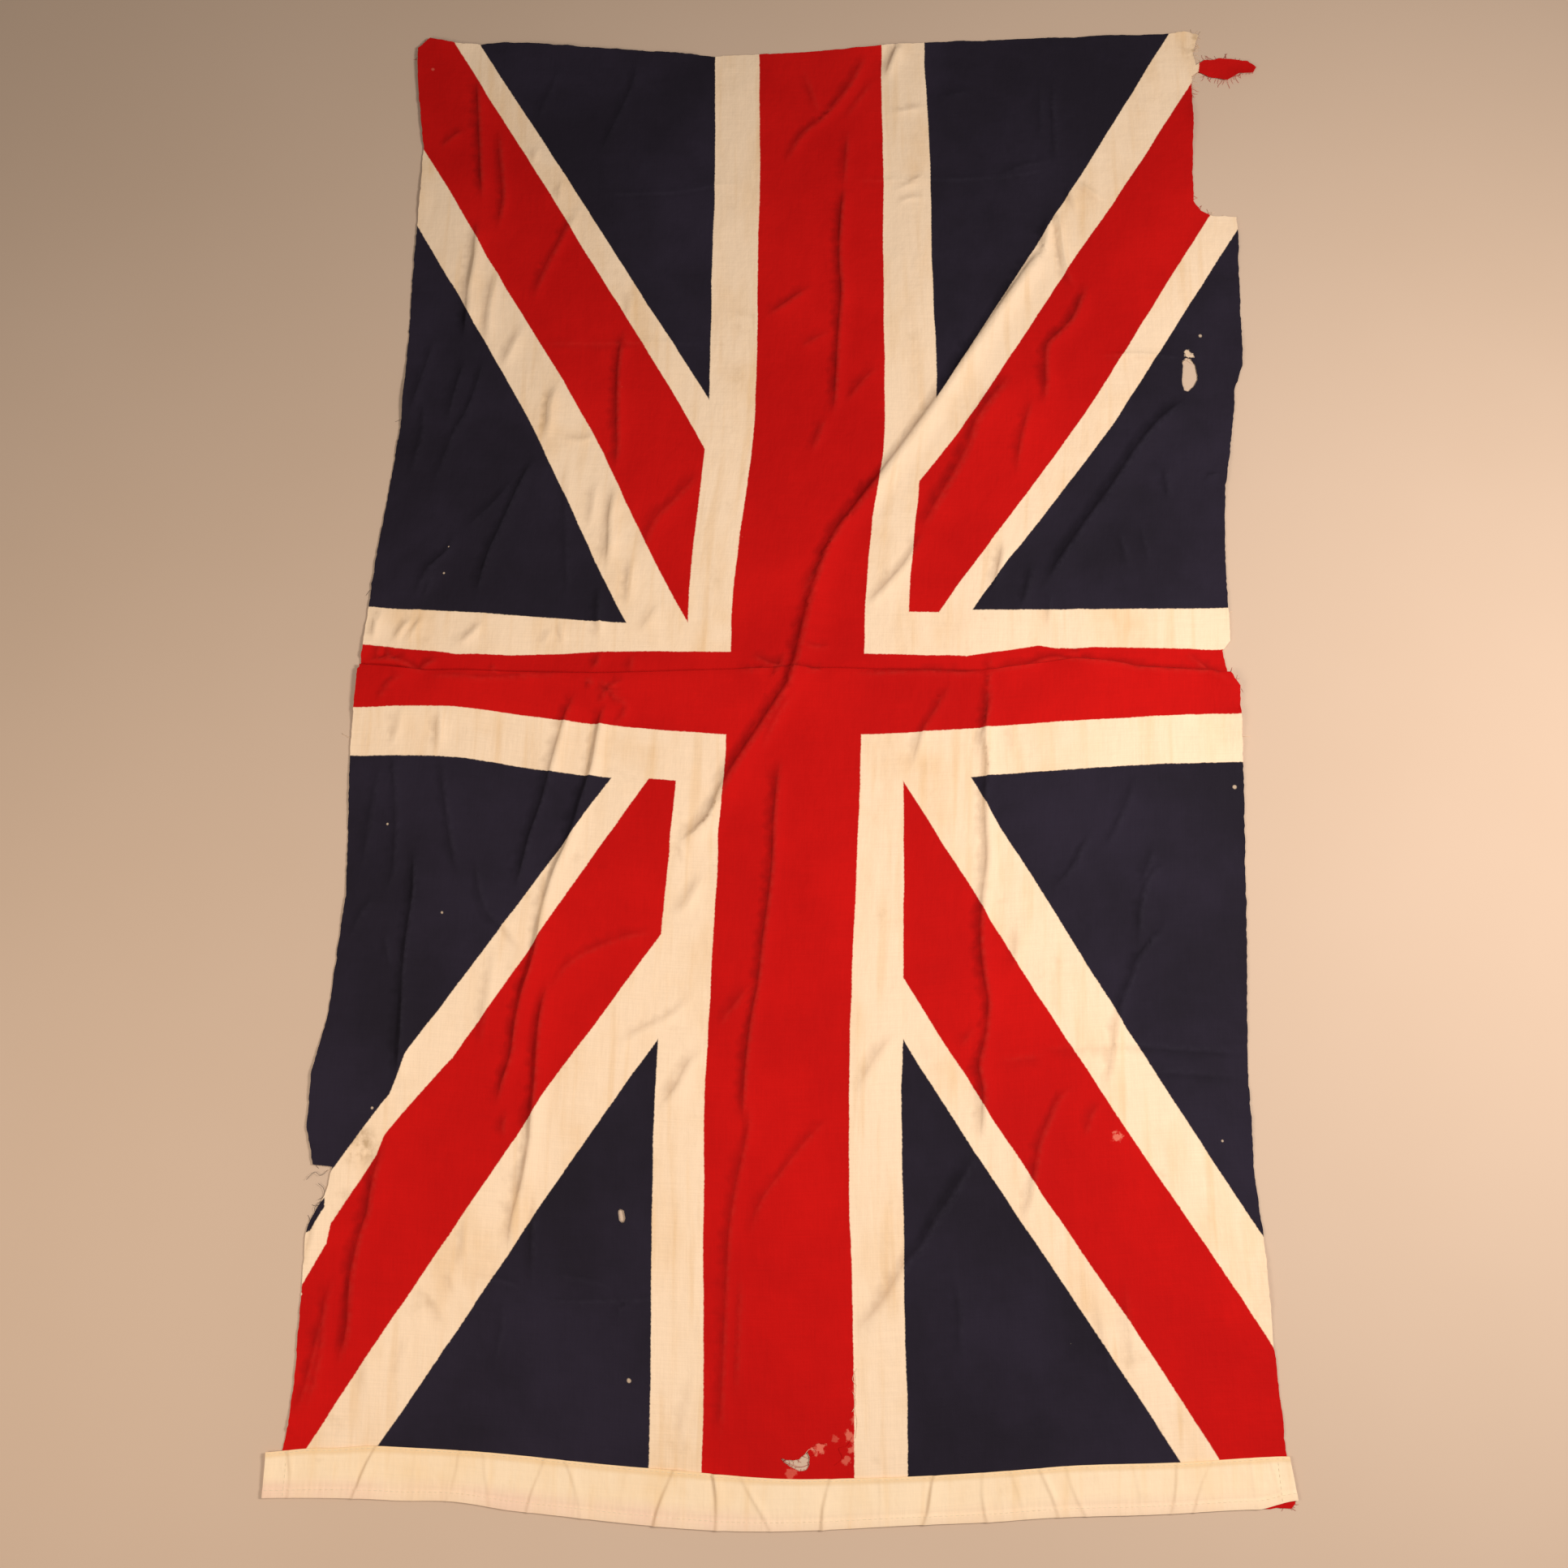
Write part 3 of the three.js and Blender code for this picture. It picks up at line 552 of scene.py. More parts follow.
# How much the creases lift the cloth at places over the floor, how worn their crests are, how much painted
# shade, with some dirt, lies at the foot of their steep side, and how far the print is drawn aside, as a
# crease takes up some cloth.
def creaseRise(x, y):
    squares = np.zeros_like(x)
    creaseMarks, shadeAndDirt = np.zeros_like(x), np.zeros_like(x)
    drawn = np.zeros((len(x), 2))
    spots = np.stack([x, y], axis=1)
    for number, (height, halfWidth, _) in enumerate(creases):
        line, gone = creaseLines[number]
        taken = creaseForm["takesUp"] * height
        drawsPrint = taken > creaseForm["drawLeast"]
        reach = halfWidth * creaseForm["gentleSide"] + (creaseForm["drawReach"] if drawsPrint else 0)
        low, high = line.min(0) - reach, line.max(0) + reach
        near = np.flatnonzero(((spots > low) & (spots < high)).all(1))
        if not len(near):
            continue
        start, stride = line[:-1], np.diff(line, axis=0)
        length = np.linalg.norm(stride, axis=1)
        offset = spots[near][:, None] - start[None]
        share = np.clip((offset * stride).sum(2) / length**2, 0, 1)
        away = offset - share[..., None] * stride
        distance = np.linalg.norm(away, axis=2)
        pick = distance.argmin(1)
        rows = np.arange(len(near))
        distance = distance[rows, pick]
        side = stride[pick, 0] * away[rows, pick, 1] - stride[pick, 1] * away[rows, pick, 0]
        place = gone[pick] + share[rows, pick] * length[pick]
        width = halfWidth * np.where(side > 0, creaseForm["gentleSide"], creaseForm["steepSide"])
        t = np.clip(distance / width, 0, 1)
        soft = np.cos(math.pi / 2 * t) ** 2
        profile = creaseForm["sharpness"] * (1 - t) ** 1.5 + (1 - creaseForm["sharpness"]) * soft
        taper = min(creaseForm["endTaper"], creaseForm["shortTaper"] * gone[-1])
        ends = smooth(place, 0, taper) * smooth(gone[-1] - place, 0, taper)
        wavers = [waver(at / creaseForm["unevenEvery"], number) for at in gone]
        uneven = 1 + creaseForm["uneven"] * np.array(wavers)
        rise = height * ends * profile * np.interp(place, gone, uneven)
        squares[near] += rise**2
        if drawsPrint:
            outward = np.stack([stride[pick, 1], -stride[pick, 0]], axis=1) / length[pick, None]
            share = np.where(side > 0, -0.5, 0.5) * taken * np.minimum(distance / halfWidth, 1) * ends
            share *= np.exp(-np.maximum(distance - halfWidth, 0) / creaseForm["drawFade"])
            drawn[near] += outward * share[:, None]
        most = min(1, creaseForm["wearLeast"] + height / creaseForm["wearFull"])
        crestWear = ends * np.exp(-((distance / creaseForm["wearReach"]) ** 2)) * most
        creaseMarks[near] = np.maximum(creaseMarks[near], crestWear)
        # painted shade, with some dirt, at the foot of each crease's steep side, where its shadow falls
        foot = np.where(side > 0, -distance, distance) / (halfWidth * creaseForm["steepSide"])
        most = min(1, creaseForm["shadeDirtLeast"] + height / creaseForm["shadeDirtFull"])
        fromShadeAndDirt = (foot - creaseForm["shadeDirtPlace"]) / creaseForm["shadeDirtWidth"]
        footShadeAndDirt = ends * np.exp(-(fromShadeAndDirt**2)) * most
        shadeAndDirt[near] = np.maximum(shadeAndDirt[near], footShadeAndDirt)
    return np.sqrt(squares), np.stack([creaseMarks, shadeAndDirt]), drawn


# Low swells all over, and finer ones, so that no part of the cloth is quite flat.
def rippleRise(x, y):
    rise = np.empty(len(x))
    for i, (px, py) in enumerate(zip(x, y)):
        swell = noise.noise(Vector((px / ripples["across"], py / ripples["along"], 4.0)))
        fineAlong = ripples["fineStretch"] * ripples["fineSize"]
        crumple = noise.noise(Vector((px / ripples["fineSize"], py / fineAlong, 9.0)))
        rise[i] = ripples["height"] * max(0, ripples["share"] + swell) + ripples["fine"] * (1 + crumple)
    return rise


# The laid cloth's middle surface: positions, the turn there, its crest wear, its painted crease shade with
# some dirt, and its drawn print.
def layCloth(across, along):
    x, y, height, turn = pleatSection(across, along)
    rise, creaseMarks, drawn = creaseRise(x, y)
    free = smooth(along, ripples["tapeEnd"], ripples["freeFrom"])
    share = ripples["underTape"] + (1 - ripples["underTape"]) * free
    z = clothLie["floorLayer"] + height + rise + rippleRise(x, y) * share
    return np.stack([x, y, z], axis=1), turn, creaseMarks, drawn


def throughThickness(spots, turn, offset):
    moved = spots.copy()
    moved[:, 1] -= offset * np.sin(turn)
    moved[:, 2] += offset * np.cos(turn)
    return moved


# The move from the floor's millimetres to the frame, found from the heading's corner.
def shiftToFrame():
    across = np.linspace(tape["left"], tape["right"], 61)
    along = np.array([0.0, tape["width"]])
    x, y, _, _ = pleatSection(*[grid.ravel() for grid in np.meshgrid(across, along)])
    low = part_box("heading")[0]
    return np.array([low.x / mm - x.min(), low.y / mm - y.min(), 0])


shift = shiftToFrame()


def toFrame(spots):
    return (np.asarray(spots) + shift) * mm


# Which places lie inside a closed outline, by the number of times that they cross it.
def insideOf(outline, places):
    corners = np.array(outline, float)
    following = np.roll(corners, -1, axis=0)
    inside = np.zeros(len(places), bool)
    for (ax, ay), (bx, by) in zip(corners, following):
        if ay == by:
            continue
        crosses = (places[:, 1] < ay) != (places[:, 1] < by)
        at = ax + (places[:, 1] - ay) * (bx - ax) / (by - ay)
        inside ^= crosses & (places[:, 0] < at)
    return inside


raggedness = {"wide": 1.6, "wideSize": 14, "fine": 1.3, "fineSize": 4.1}


# A torn outline: more points, each moved a little in or out.
def fray(corners, step, ragged, seed):
    wideSize, fineSize = raggedness["wideSize"], raggedness["fineSize"]
    dense = []
    for (ax, ay), (bx, by) in zip(corners, [*corners[1:], corners[0]]):
        length = math.hypot(bx - ax, by - ay)
        pieces = max(1, round(length / step))
        for piece in range(pieces):
            t = piece / pieces
            px, py = ax + (bx - ax) * t, ay + (by - ay) * t
            wide = noise.noise(Vector((px / wideSize, py / wideSize, seed)))
            fine = noise.noise(Vector((px / fineSize, py / fineSize, seed + 5)))
            move = ragged * (raggedness["wide"] * wide + raggedness["fine"] * fine)
            dense.append((px - move * (by - ay) / length, py + move * (bx - ax) / length))
    return dense


# Mesh points on the flat cloth, none of them closer than the given distances.
class PointField:
    def __init__(self, cell):
        self.cell = cell
        self.points = []
        self.cells = {}

    def near(self, place, clear):
        reach = math.ceil(clear / self.cell)
        cx, cy = int(place[0] // self.cell), int(place[1] // self.cell)
        for i in range(cx - reach, cx + reach + 1):
            for j in range(cy - reach, cy + reach + 1):
                for k in self.cells.get((i, j), ()):
                    if math.dist(place, self.points[k]) < clear:
                        return True
        return False

    def add(self, place, clear=0):
        if clear and self.near(place, clear):
            return None
        self.points.append((float(place[0]), float(place[1])))
        key = (int(place[0] // self.cell), int(place[1] // self.cell))
        self.cells.setdefault(key, []).append(len(self.points) - 1)
        return len(self.points) - 1


def addLoop(field, edges, outline):
    ids = [field.add(place) for place in outline]
    edges.extend(zip(ids, [*ids[1:], ids[0]]))


# Rows of points that follow the pleat's bends, so that each bend is round.
def addPleatRows(field, edges):
    across = np.arange(*clothMesh["pleatSpan"], clothMesh["columnStep"], dtype=float)
    first, depth = firstBend(across), foldedBack(across)
    second = first + bendLength + depth
    steps = pleat["bendSteps"]
    rows = [first - depth - pleat["rampStart"], first - 2 * depth / 3, first - depth / 3]
    rows += [first + bendLength * s / steps for s in range(steps + 1)]
    rows += [first + bendLength + depth / 3, first + bendLength + 2 * depth / 3]
    rows += [second + bendLength * s / steps for s in range(steps + 1)]
    rows += [second + bendLength + depth * s / 3 for s in (1, 2, 3)]
    for row in rows:
        ids = [field.add(place) for place in zip(across, row)]
        edges.extend(zip(ids, ids[1:]))


# Strips of points along each crease, closest together on its steep side.
def addCreaseStrips(field, edges):
    strips = []
    for _, halfWidth, crest in creases:
        line, _ = smoothLine(crest, clothMesh["alongCrease"])
        ahead = np.gradient(line, axis=0)
        ahead /= np.linalg.norm(ahead, axis=1)[:, None]
        toGentle = np.stack([-ahead[:, 1], ahead[:, 0]], axis=1)
        ids = [field.add(place, clothMesh["clear"]) for place in zip(*cutPlace(*line.T))]
        edges.extend(pair for pair in zip(ids, ids[1:]) if None not in pair)
        for side in clothMesh["sides"]:
            width = halfWidth * (creaseForm["gentleSide"] if side > 0 else creaseForm["steepSide"])
            strips.append(line + toGentle * side * width)
    for strip in strips:
        for place in zip(*cutPlace(*strip.T)):
            field.add(place, clothMesh["clear"])


def addGrid(field):
    step = clothMesh["grid"]
    rowStep = step * math.sqrt(3) / 2
    startAcross, startAlong = clothMesh["gridStart"]
    spanAcross, spanAlong = clothMesh["gridSpan"]
    most = clothMesh["gridDrift"]
    drift = random.Random(4)
    for row in range(int(spanAlong / rowStep)):
        for column in range(int(spanAcross / step)):
            across = startAcross + step * (column + 0.5 * (row % 2)) + drift.uniform(-most, most)
            along = startAlong + rowStep * row + drift.uniform(-most, most)
            field.add((across, along), clothMesh["gridClear"])


# Triangles of the flat cloth between its torn edge and its holes.
def flatCloth():
    edge = fray(tornEdge, clothMesh["edgeStep"], clothMesh["ragged"], 1)
    holeStep, holeRagged = clothMesh["holeStep"], clothMesh["holeRagged"]
    gaps = [fray(hole, holeStep, holeRagged, 2 + number) for number, hole in enumerate(holes)]
    field, edges = PointField(4), []
    for loop in (edge, *gaps):
        addLoop(field, edges, loop)
    addPleatRows(field, edges)
    addCreaseStrips(field, edges)
    addGrid(field)
    points, _, faces, _, _, _ = geometry.delaunay_2d_cdt(
        [Vector(place) for place in field.points], edges, [], 0, 1e-5, False
    )
    places = np.array(points, float)
    triangles = np.array(faces)
    middles = places[triangles].mean(1)
    kept = insideOf(edge, middles)
    for gap in gaps:
        kept &= ~insideOf(gap, middles)
    triangles = triangles[kept]
    used, triangles = np.unique(triangles, return_inverse=True)
    return places[used], triangles.reshape(-1, 3), edge


# Edges that only one triangle has, in that triangle's direction.
def openEdges(triangles):
    sides = np.concatenate([triangles[:, [0, 1]], triangles[:, [1, 2]], triangles[:, [2, 0]]])
    known = {tuple(side) for side in sides}
    return np.array([side for side in known if (side[1], side[0]) not in known])


def newMesh(name, spots, faces):
    mesh = bpy.data.meshes.new(name)
    mesh.from_pydata(np.asarray(spots).tolist(), [], faces)
    mesh.update()
    mesh.polygons.foreach_set("use_smooth", [True] * len(mesh.polygons))
    piece = bpy.data.objects.new(name, mesh)
    bpy.context.scene.collection.objects.link(piece)
    return piece


def storeVector(piece, name, values):
    made = piece.data.attributes.new(name, "FLOAT_VECTOR", "POINT")
    made.data.foreach_set("vector", np.asarray(values, np.float32).ravel())


def storeNumber(piece, name, values):
    made = piece.data.attributes.new(name, "FLOAT", "POINT")
    made.data.foreach_set("value", np.asarray(values, np.float32).ravel())


# Marks the edges round a shell's rim as sharp, so that the cut edge doesn't shade round.
def sharpenRim(piece, rimPoints):
    mesh = piece.data
    ends = np.empty(len(mesh.edges) * 2, np.int32)
    mesh.edges.foreach_get("vertices", ends)
    sharp = rimPoints[ends.reshape(-1, 2)].all(1)
    mark = mesh.attributes.new("sharp_edge", "BOOLEAN", "EDGE")
    mark.data.foreach_set("value", sharp)


# A closed thin shell from a flat sheet's triangles and its two surfaces.
def makeShell(name, above, below, triangles):
    count = len(above)
    rim = openEdges(triangles)
    faces = [
        *triangles.tolist(),
        *(triangles[:, ::-1] + count).tolist(),
        *[[int(b), int(a), int(a) + count, int(b) + count] for a, b in rim],
    ]
    piece = newMesh(name, toFrame(np.concatenate([above, below])), faces)
    onRim = np.zeros(2 * count, bool)
    onRim[rim.ravel()] = True
    onRim[rim.ravel() + count] = True
    sharpenRim(piece, onRim)
    return piece


# The cloth's edge lifts a little off the floor here and there.
def edgeCurl(places, edge):
    tree = kdtree.KDTree(len(edge))
    for number, place in enumerate(edge):
        tree.insert((*place, 0), number)
    tree.balance()
    lift = np.zeros(len(places))
    for i, (across, along) in enumerate(places):
        if abs(along - pleat["line"]) < curl["clearOfPleat"] or along < curl["clearOfTape"]:
            continue
        (ex, ey, _), _, distance = tree.find((across, along, 0))
        if distance < curl["reach"]:
            uneven = noise.noise(Vector((ex / curl["size"], ey / curl["size"], 21.0)))
            strength = max(0, uneven - curl["least"]) * curl["gain"]
            lift[i] = curl["height"] * strength * (1 - distance / curl["reach"]) ** curl["falloff"]
    return lift


def buildCloth():
    places, triangles, edge = flatCloth()
    spots, turn, creaseMarks, drawn = layCloth(places[:, 0], places[:, 1])
    spots[:, 2] += edgeCurl(places, edge)
    half = clothLie["thickness"] / 2
    above = throughThickness(spots, turn, half)
    below = throughThickness(spots, turn, -half)
    cloth = makeShell("flagCloth", above, below, triangles)
    cut = np.column_stack([(places + drawn) * mm, np.ones(len(places))])
    storeVector(cloth, "cutPlace", np.concatenate([cut, cut]))
    storeNumber(cloth, "creaseWear", np.concatenate([creaseMarks[0], creaseMarks[0] * 0]))
    # painted crease shade with some dirt, on the top surface only
    storeNumber(cloth, "creaseShadeAndDirt", np.concatenate([creaseMarks[1], creaseMarks[1] * 0]))
    flat = places[triangles]
    sides = np.cross(flat[:, 1] - flat[:, 0], flat[:, 2] - flat[:, 0])
    area = abs(sides).sum() / 2 * mm * mm
    print("cloth:", len(triangles) * 2, "triangles,", round(area, 4), "square metres")
    return cloth, area


# How far the tape puckers off the cloth, from its foot (0) to its top edge (1), and the painted shade, with
# some dirt, on the -X side of each pucker.
def puckerRise(x, up):
    rise, shadeAndDirt = np.zeros_like(x), np.zeros_like(x)
    for number, (place, height, halfWidth, lean) in enumerate(tape["puckers"]):
        height = height * (height / tape["puckerFull"]) ** tape["puckerContrast"]
        crest = place + lean * (0.5 - up) * tape["puckerLean"]
        crest = crest + tape["puckerWander"] * np.sin(4 * up + 2 * number)
        side = np.where(x > crest, creaseForm["gentleSide"], creaseForm["steepSide"])
        t = np.clip(np.abs((x - crest) / (tape["puckerWidth"] * halfWidth * side)), 0, 1)
        arch = np.sin(math.pi * np.clip(up + 0.25 * (number % 3 - 1), 0, 1))
        swell = height * (tape["puckerEnds"] + (1 - tape["puckerEnds"]) * arch)
        profile = 0.5 * (1 - t) ** 1.5 + 0.5 * np.cos(math.pi / 2 * t) ** 2
        rise = np.sqrt(rise**2 + (swell * profile) ** 2)
        # painted shade, with some dirt, on the -X side of each pucker, away from the key light
        foot = np.exp(-(((x - crest + tape["puckerShadeDirtAt"]) / tape["puckerShadeDirtReach"]) ** 2))
        shadeAndDirt = np.maximum(shadeAndDirt, foot * min(1, height / tape["puckerFullShadeDirt"]) * swell / height)
    return rise, shadeAndDirt


def buildTape():
    columns = round((tape["right"] - tape["left"]) / tape["step"])
    rows = tape["rows"]
    stations = np.linspace(tape["left"], tape["right"], columns + 1)
    across, up = np.meshgrid(stations, np.linspace(0, 1, rows + 1))
    across, up = across.ravel(), up.ravel()
    foot, top = valueAt(tape["bottom"], across), valueAt(tape["top"], across)
    width = top - foot
    fromFoot, fromTop = up * width, (1 - up) * width
    along = foot + fromFoot
    slantFrom, (slantFoot, slantTop) = tape["slantFrom"], tape["slant"]
    slantShare = (across - slantFrom) / (tape["right"] - slantFrom)
    slant = slantShare * (slantFoot + (slantTop - slantFoot) * up)
    across = across + np.where(across > slantFrom, slant, 0)
    spots = layCloth(across, along)[0]
    ruck = np.array([noise.noise(Vector((a / tape["ruckSize"], 2.0, 31.0))) for a in across])
    sizeAcross, sizeAlong = tape["crumpleSize"]
    spread = zip(across / sizeAcross, along / sizeAlong)
    small = np.array([noise.noise(Vector((a, f, 37.0))) for a, f in spread])
    stitchLine = np.exp(-(((fromFoot - tape["hemWidth"]) / tape["stitchReach"]) ** 2))
    nearHem = np.exp(-(((fromFoot - tape["hemWidth"]) / tape["nearHemReach"]) ** 2))
    rolled = tape["roll"] * np.sin(math.pi * np.clip(fromTop / tape["rollWidth"], 0, 1)) ** 0.7
    hem = tape["hem"] * smooth(tape["hemWidth"] - fromFoot, 0, 2.5) * smooth(fromFoot, -1, 1.5)
    dip = tape["stitchPull"] * stitchLine
    base = clothLie["thickness"] / 2 + tape["gap"] + tape["thickness"] / 2
    combEnd, combFade = tape["combWave"]
    wave = np.sin(2 * math.pi * across / stitching["every"] + 2 * ruck)
    comb = wave * smooth(combEnd - across, 0, combFade)
    pucker, shadeAndDirt = puckerRise(spots[:, 0], up)
    rise = tape["puckerScale"] * pucker + tape["comb"] * comb * nearHem
    rise = rise + tape["ruck"] * np.abs(ruck) * nearHem + tape["crumple"] * (small + 0.4)
    spots[:, 2] += base + rise
    ends = smooth(np.abs(across - tape["endMiddle"]), tape["endFrom"], tape["endTo"])
    spots[:, 2] += np.where(across < 0, *tape["endLift"]) * ends * (0.4 + 0.6 * up)
    faces = []
    for row in range(rows):
        for column in range(columns):
            a = row * (columns + 1) + column
            b = a + columns + 1
            faces += [(a, a + 1, b + 1), (a, b + 1, b)]
    half = tape["thickness"] / 2
    above, below = spots.copy(), spots.copy()
    above[:, 2] += half + rolled + hem - dip
    below[:, 2] -= half
    piece = makeShell("tapeHeading", above, below, np.array(faces))
    cut = np.column_stack([across * mm, along * mm, up])
    storeVector(piece, "cutPlace", np.concatenate([cut, cut]))
    # painted pucker shade with some dirt, on the top surface only
    storeNumber(piece, "creaseShadeAndDirt", np.concatenate([shadeAndDirt, shadeAndDirt * 0]))
    print("tape:", 2 * len(faces), "triangles")
    return piece, above.reshape(rows + 1, columns + 1, 3)


# Threads and stitches: many short tubes joined into one mesh.
class TubeBundle:
    def __init__(self, sides):
        self.sides = sides
        self.spots, self.faces, self.cuts = [], [], []

    def add(self, line, radius, cut):
        line = np.asarray(line, float)
        ahead = np.gradient(line, axis=0)
        ahead /= np.linalg.norm(ahead, axis=1)[:, None] + 1e-9
        beside = np.cross(ahead, (0, 0, 1.0))
        beside /= np.linalg.norm(beside, axis=1)[:, None] + 1e-9
        over = np.cross(beside, ahead)
        first = len(self.spots)
        for i, spot in enumerate(line):
            taper = 1.0 if 0 < i < len(line) - 1 else 0.75
            for side in range(self.sides):
                angle = 2 * math.pi * side / self.sides
                self.spots.append(
                    spot + radius * taper * (math.cos(angle) * beside[i] + math.sin(angle) * over[i])
                )
                self.cuts.append(cut)
        for i in range(len(line) - 1):
            for side in range(self.sides):
                a = first + i * self.sides + side
                b = first + i * self.sides + (side + 1) % self.sides
                self.faces.append((a, a + self.sides, b + self.sides, b))
        last = len(self.spots) - self.sides
        self.faces.append(tuple(first + side for side in range(self.sides)))
        self.faces.append(tuple(last + side for side in reversed(range(self.sides))))

    def build(self, name):
        piece = newMesh(name, toFrame(self.spots), self.faces)
        storeVector(piece, "cutPlace", self.cuts)
        print(name + ":", sum(len(face) - 2 for face in self.faces), "triangles")
        return piece


# A run of stitches along one line of the tape, each of them a short bar that dips at its ends.
def sewAlong(bundle, surface, cut):
    gone = np.concatenate([[0], np.cumsum(np.linalg.norm(np.diff(surface, axis=0), axis=1))])
    sink, stand = stitching["sink"], stitching["stand"]
    place = stitching["start"]
    while place + stitching["length"] < gone[-1]:
        at = place + np.array([0, 0.25, 0.75, 1]) * stitching["length"]
        bar = np.stack([np.interp(at, gone, surface[:, k]) for k in range(3)], axis=1)
        bar[:, 2] += np.array([-sink, stand, stand, -sink])
        bundle.add(bar, stitching["radius"], cut)
        place += stitching["every"]


def buildStitches(surface):
    bundle = TubeBundle(5)
    cut = (0, 0.02, 0)
    width = tape["top"][4][1] - tape["bottom"][4][1]
    row = round(stitching["inset"] / width * tape["rows"])
    topRow = tape["rows"] - max(1, round(stitching["topInset"] / width * tape["rows"]))
    left = round(stitching["leftInset"] / tape["step"])
    right = round(stitching["rightInset"] / tape["step"])
    for line in (surface[row], surface[topRow], surface[:, left], surface[:, -right]):
        sewAlong(bundle, line, cut)
    return bundle.build("tapeStitches")


frayed = {
    "every": 2.3,
    "stride": 2.2,
    "radius": 0.16,
    "short": (0.5, 1.9),
    "long": (5, 13),
    "longShare": 0.006,
    "shortShare": 0.6,
    "rootInset": 1.2,  # how far inside the edge a thread starts
    "rootSunk": 0.3,
    "floorHeight": 0.35,
    "turn": 0.7,
    "wander": (0.35, 0.6),
    "width": (0.75, 1.2),
    "strandStep": 1.5,
    "strandLift": 0.25,
    "strandWidth": 1.3,
    "tapeCovers": (-20, 45, 450),  # edge that the tape hides: from, to, as far from the middle
    # places where many threads hang loose: across, along, reach, least and most length, share
    "tufts": [
        (430, 1560, 45, 3, 12, 0.75),
        (440, 772, 18, 3, 13, 0.7),
        (-424, 262, 34, 2, 9, 0.3),
        (392, 1190, 10, 1, 3.5, 0.6),
        (420, 1378, 26, 2, 9, 0.5),
        (16, 55, 24, 1.5, 6, 0.8),
        (-440, 1575, 22, 2, 9, 0.6),
        (455, -4, 12, 2, 6, 0.7),
    ],
    # strands that lie on the cloth: where their colour comes from, then places on the cloth
    "strands": [
        ((-440, 300), [(-426, 269), (-421, 265), (-420, 258), (-425, 254)]),
        ((-440, 300), [(-423, 253), (-428, 247), (-426, 238), (-431, 230)]),
        ((-440, 300), [(-418, 281), (-424, 276), (-430, 279), (-437, 272)]),
        ((80, 100), [(69, 74), (70.5, 88), (68.5, 101), (70, 116), (69, 131)]),
        ((80, 100), [(66, 96), (70, 104), (67, 113)]),
        ((80, 100), [(71, 118), (67, 124), (71, 133)]),
        ((12, 200), [(50, 52), (57, 58), (54, 66), (61, 68), (66, 75)]),
        ((12, 200), [(29, 60), (34, 63), (31, 68), (37, 71), (44, 69)]),
        ((80, 100), [(24, 62), (28, 66), (33, 65)]),
        ((12, 200), [(3, 57), (12, 53), (20, 51), (27, 53)]),
        ((80, 100), [(385, 1191), (390, 1194), (396, 1190)]),
    ],
}


# The height of the top of the cloth at places on it.
def clothTop(across, along):
    spots, turn, _, _ = layCloth(np.array(across, float), np.array(along, float))
    return throughThickness(spots, turn, clothLie["thickness"] / 2)


# A loose thread that starts on the cloth and wanders away over the floor.
def looseThread(rng, root, heading, length, height, wander):
    steps = max(3, int(length / frayed["stride"]))
    x, y, z = root
    line = [(x, y, z)]
    angle = heading
    for step in range(steps):
        angle += rng.uniform(-wander, wander)
        x += math.cos(angle) * length / steps
        y += math.sin(angle) * length / steps
        share = (step + 1) / steps
        z = root[2] + (height - root[2]) * min(1, share * 1.6) + rng.uniform(-0.08, 0.12)
        line.append((x, y, max(0.3, z)))
    return line


def tuftAt(across, along):
    for tuft in frayed["tufts"]:
        if math.hypot(across - tuft[0], along - tuft[1]) < tuft[2]:
            return tuft
    return None


# 1 where an outline runs anticlockwise, -1 where it runs clockwise.
def turningOf(corners):
    turning = sum(ax * by - bx * ay for (ax, ay), (bx, by) in zip(corners, [*corners[1:], corners[0]]))
    return 1 if turning > 0 else -1


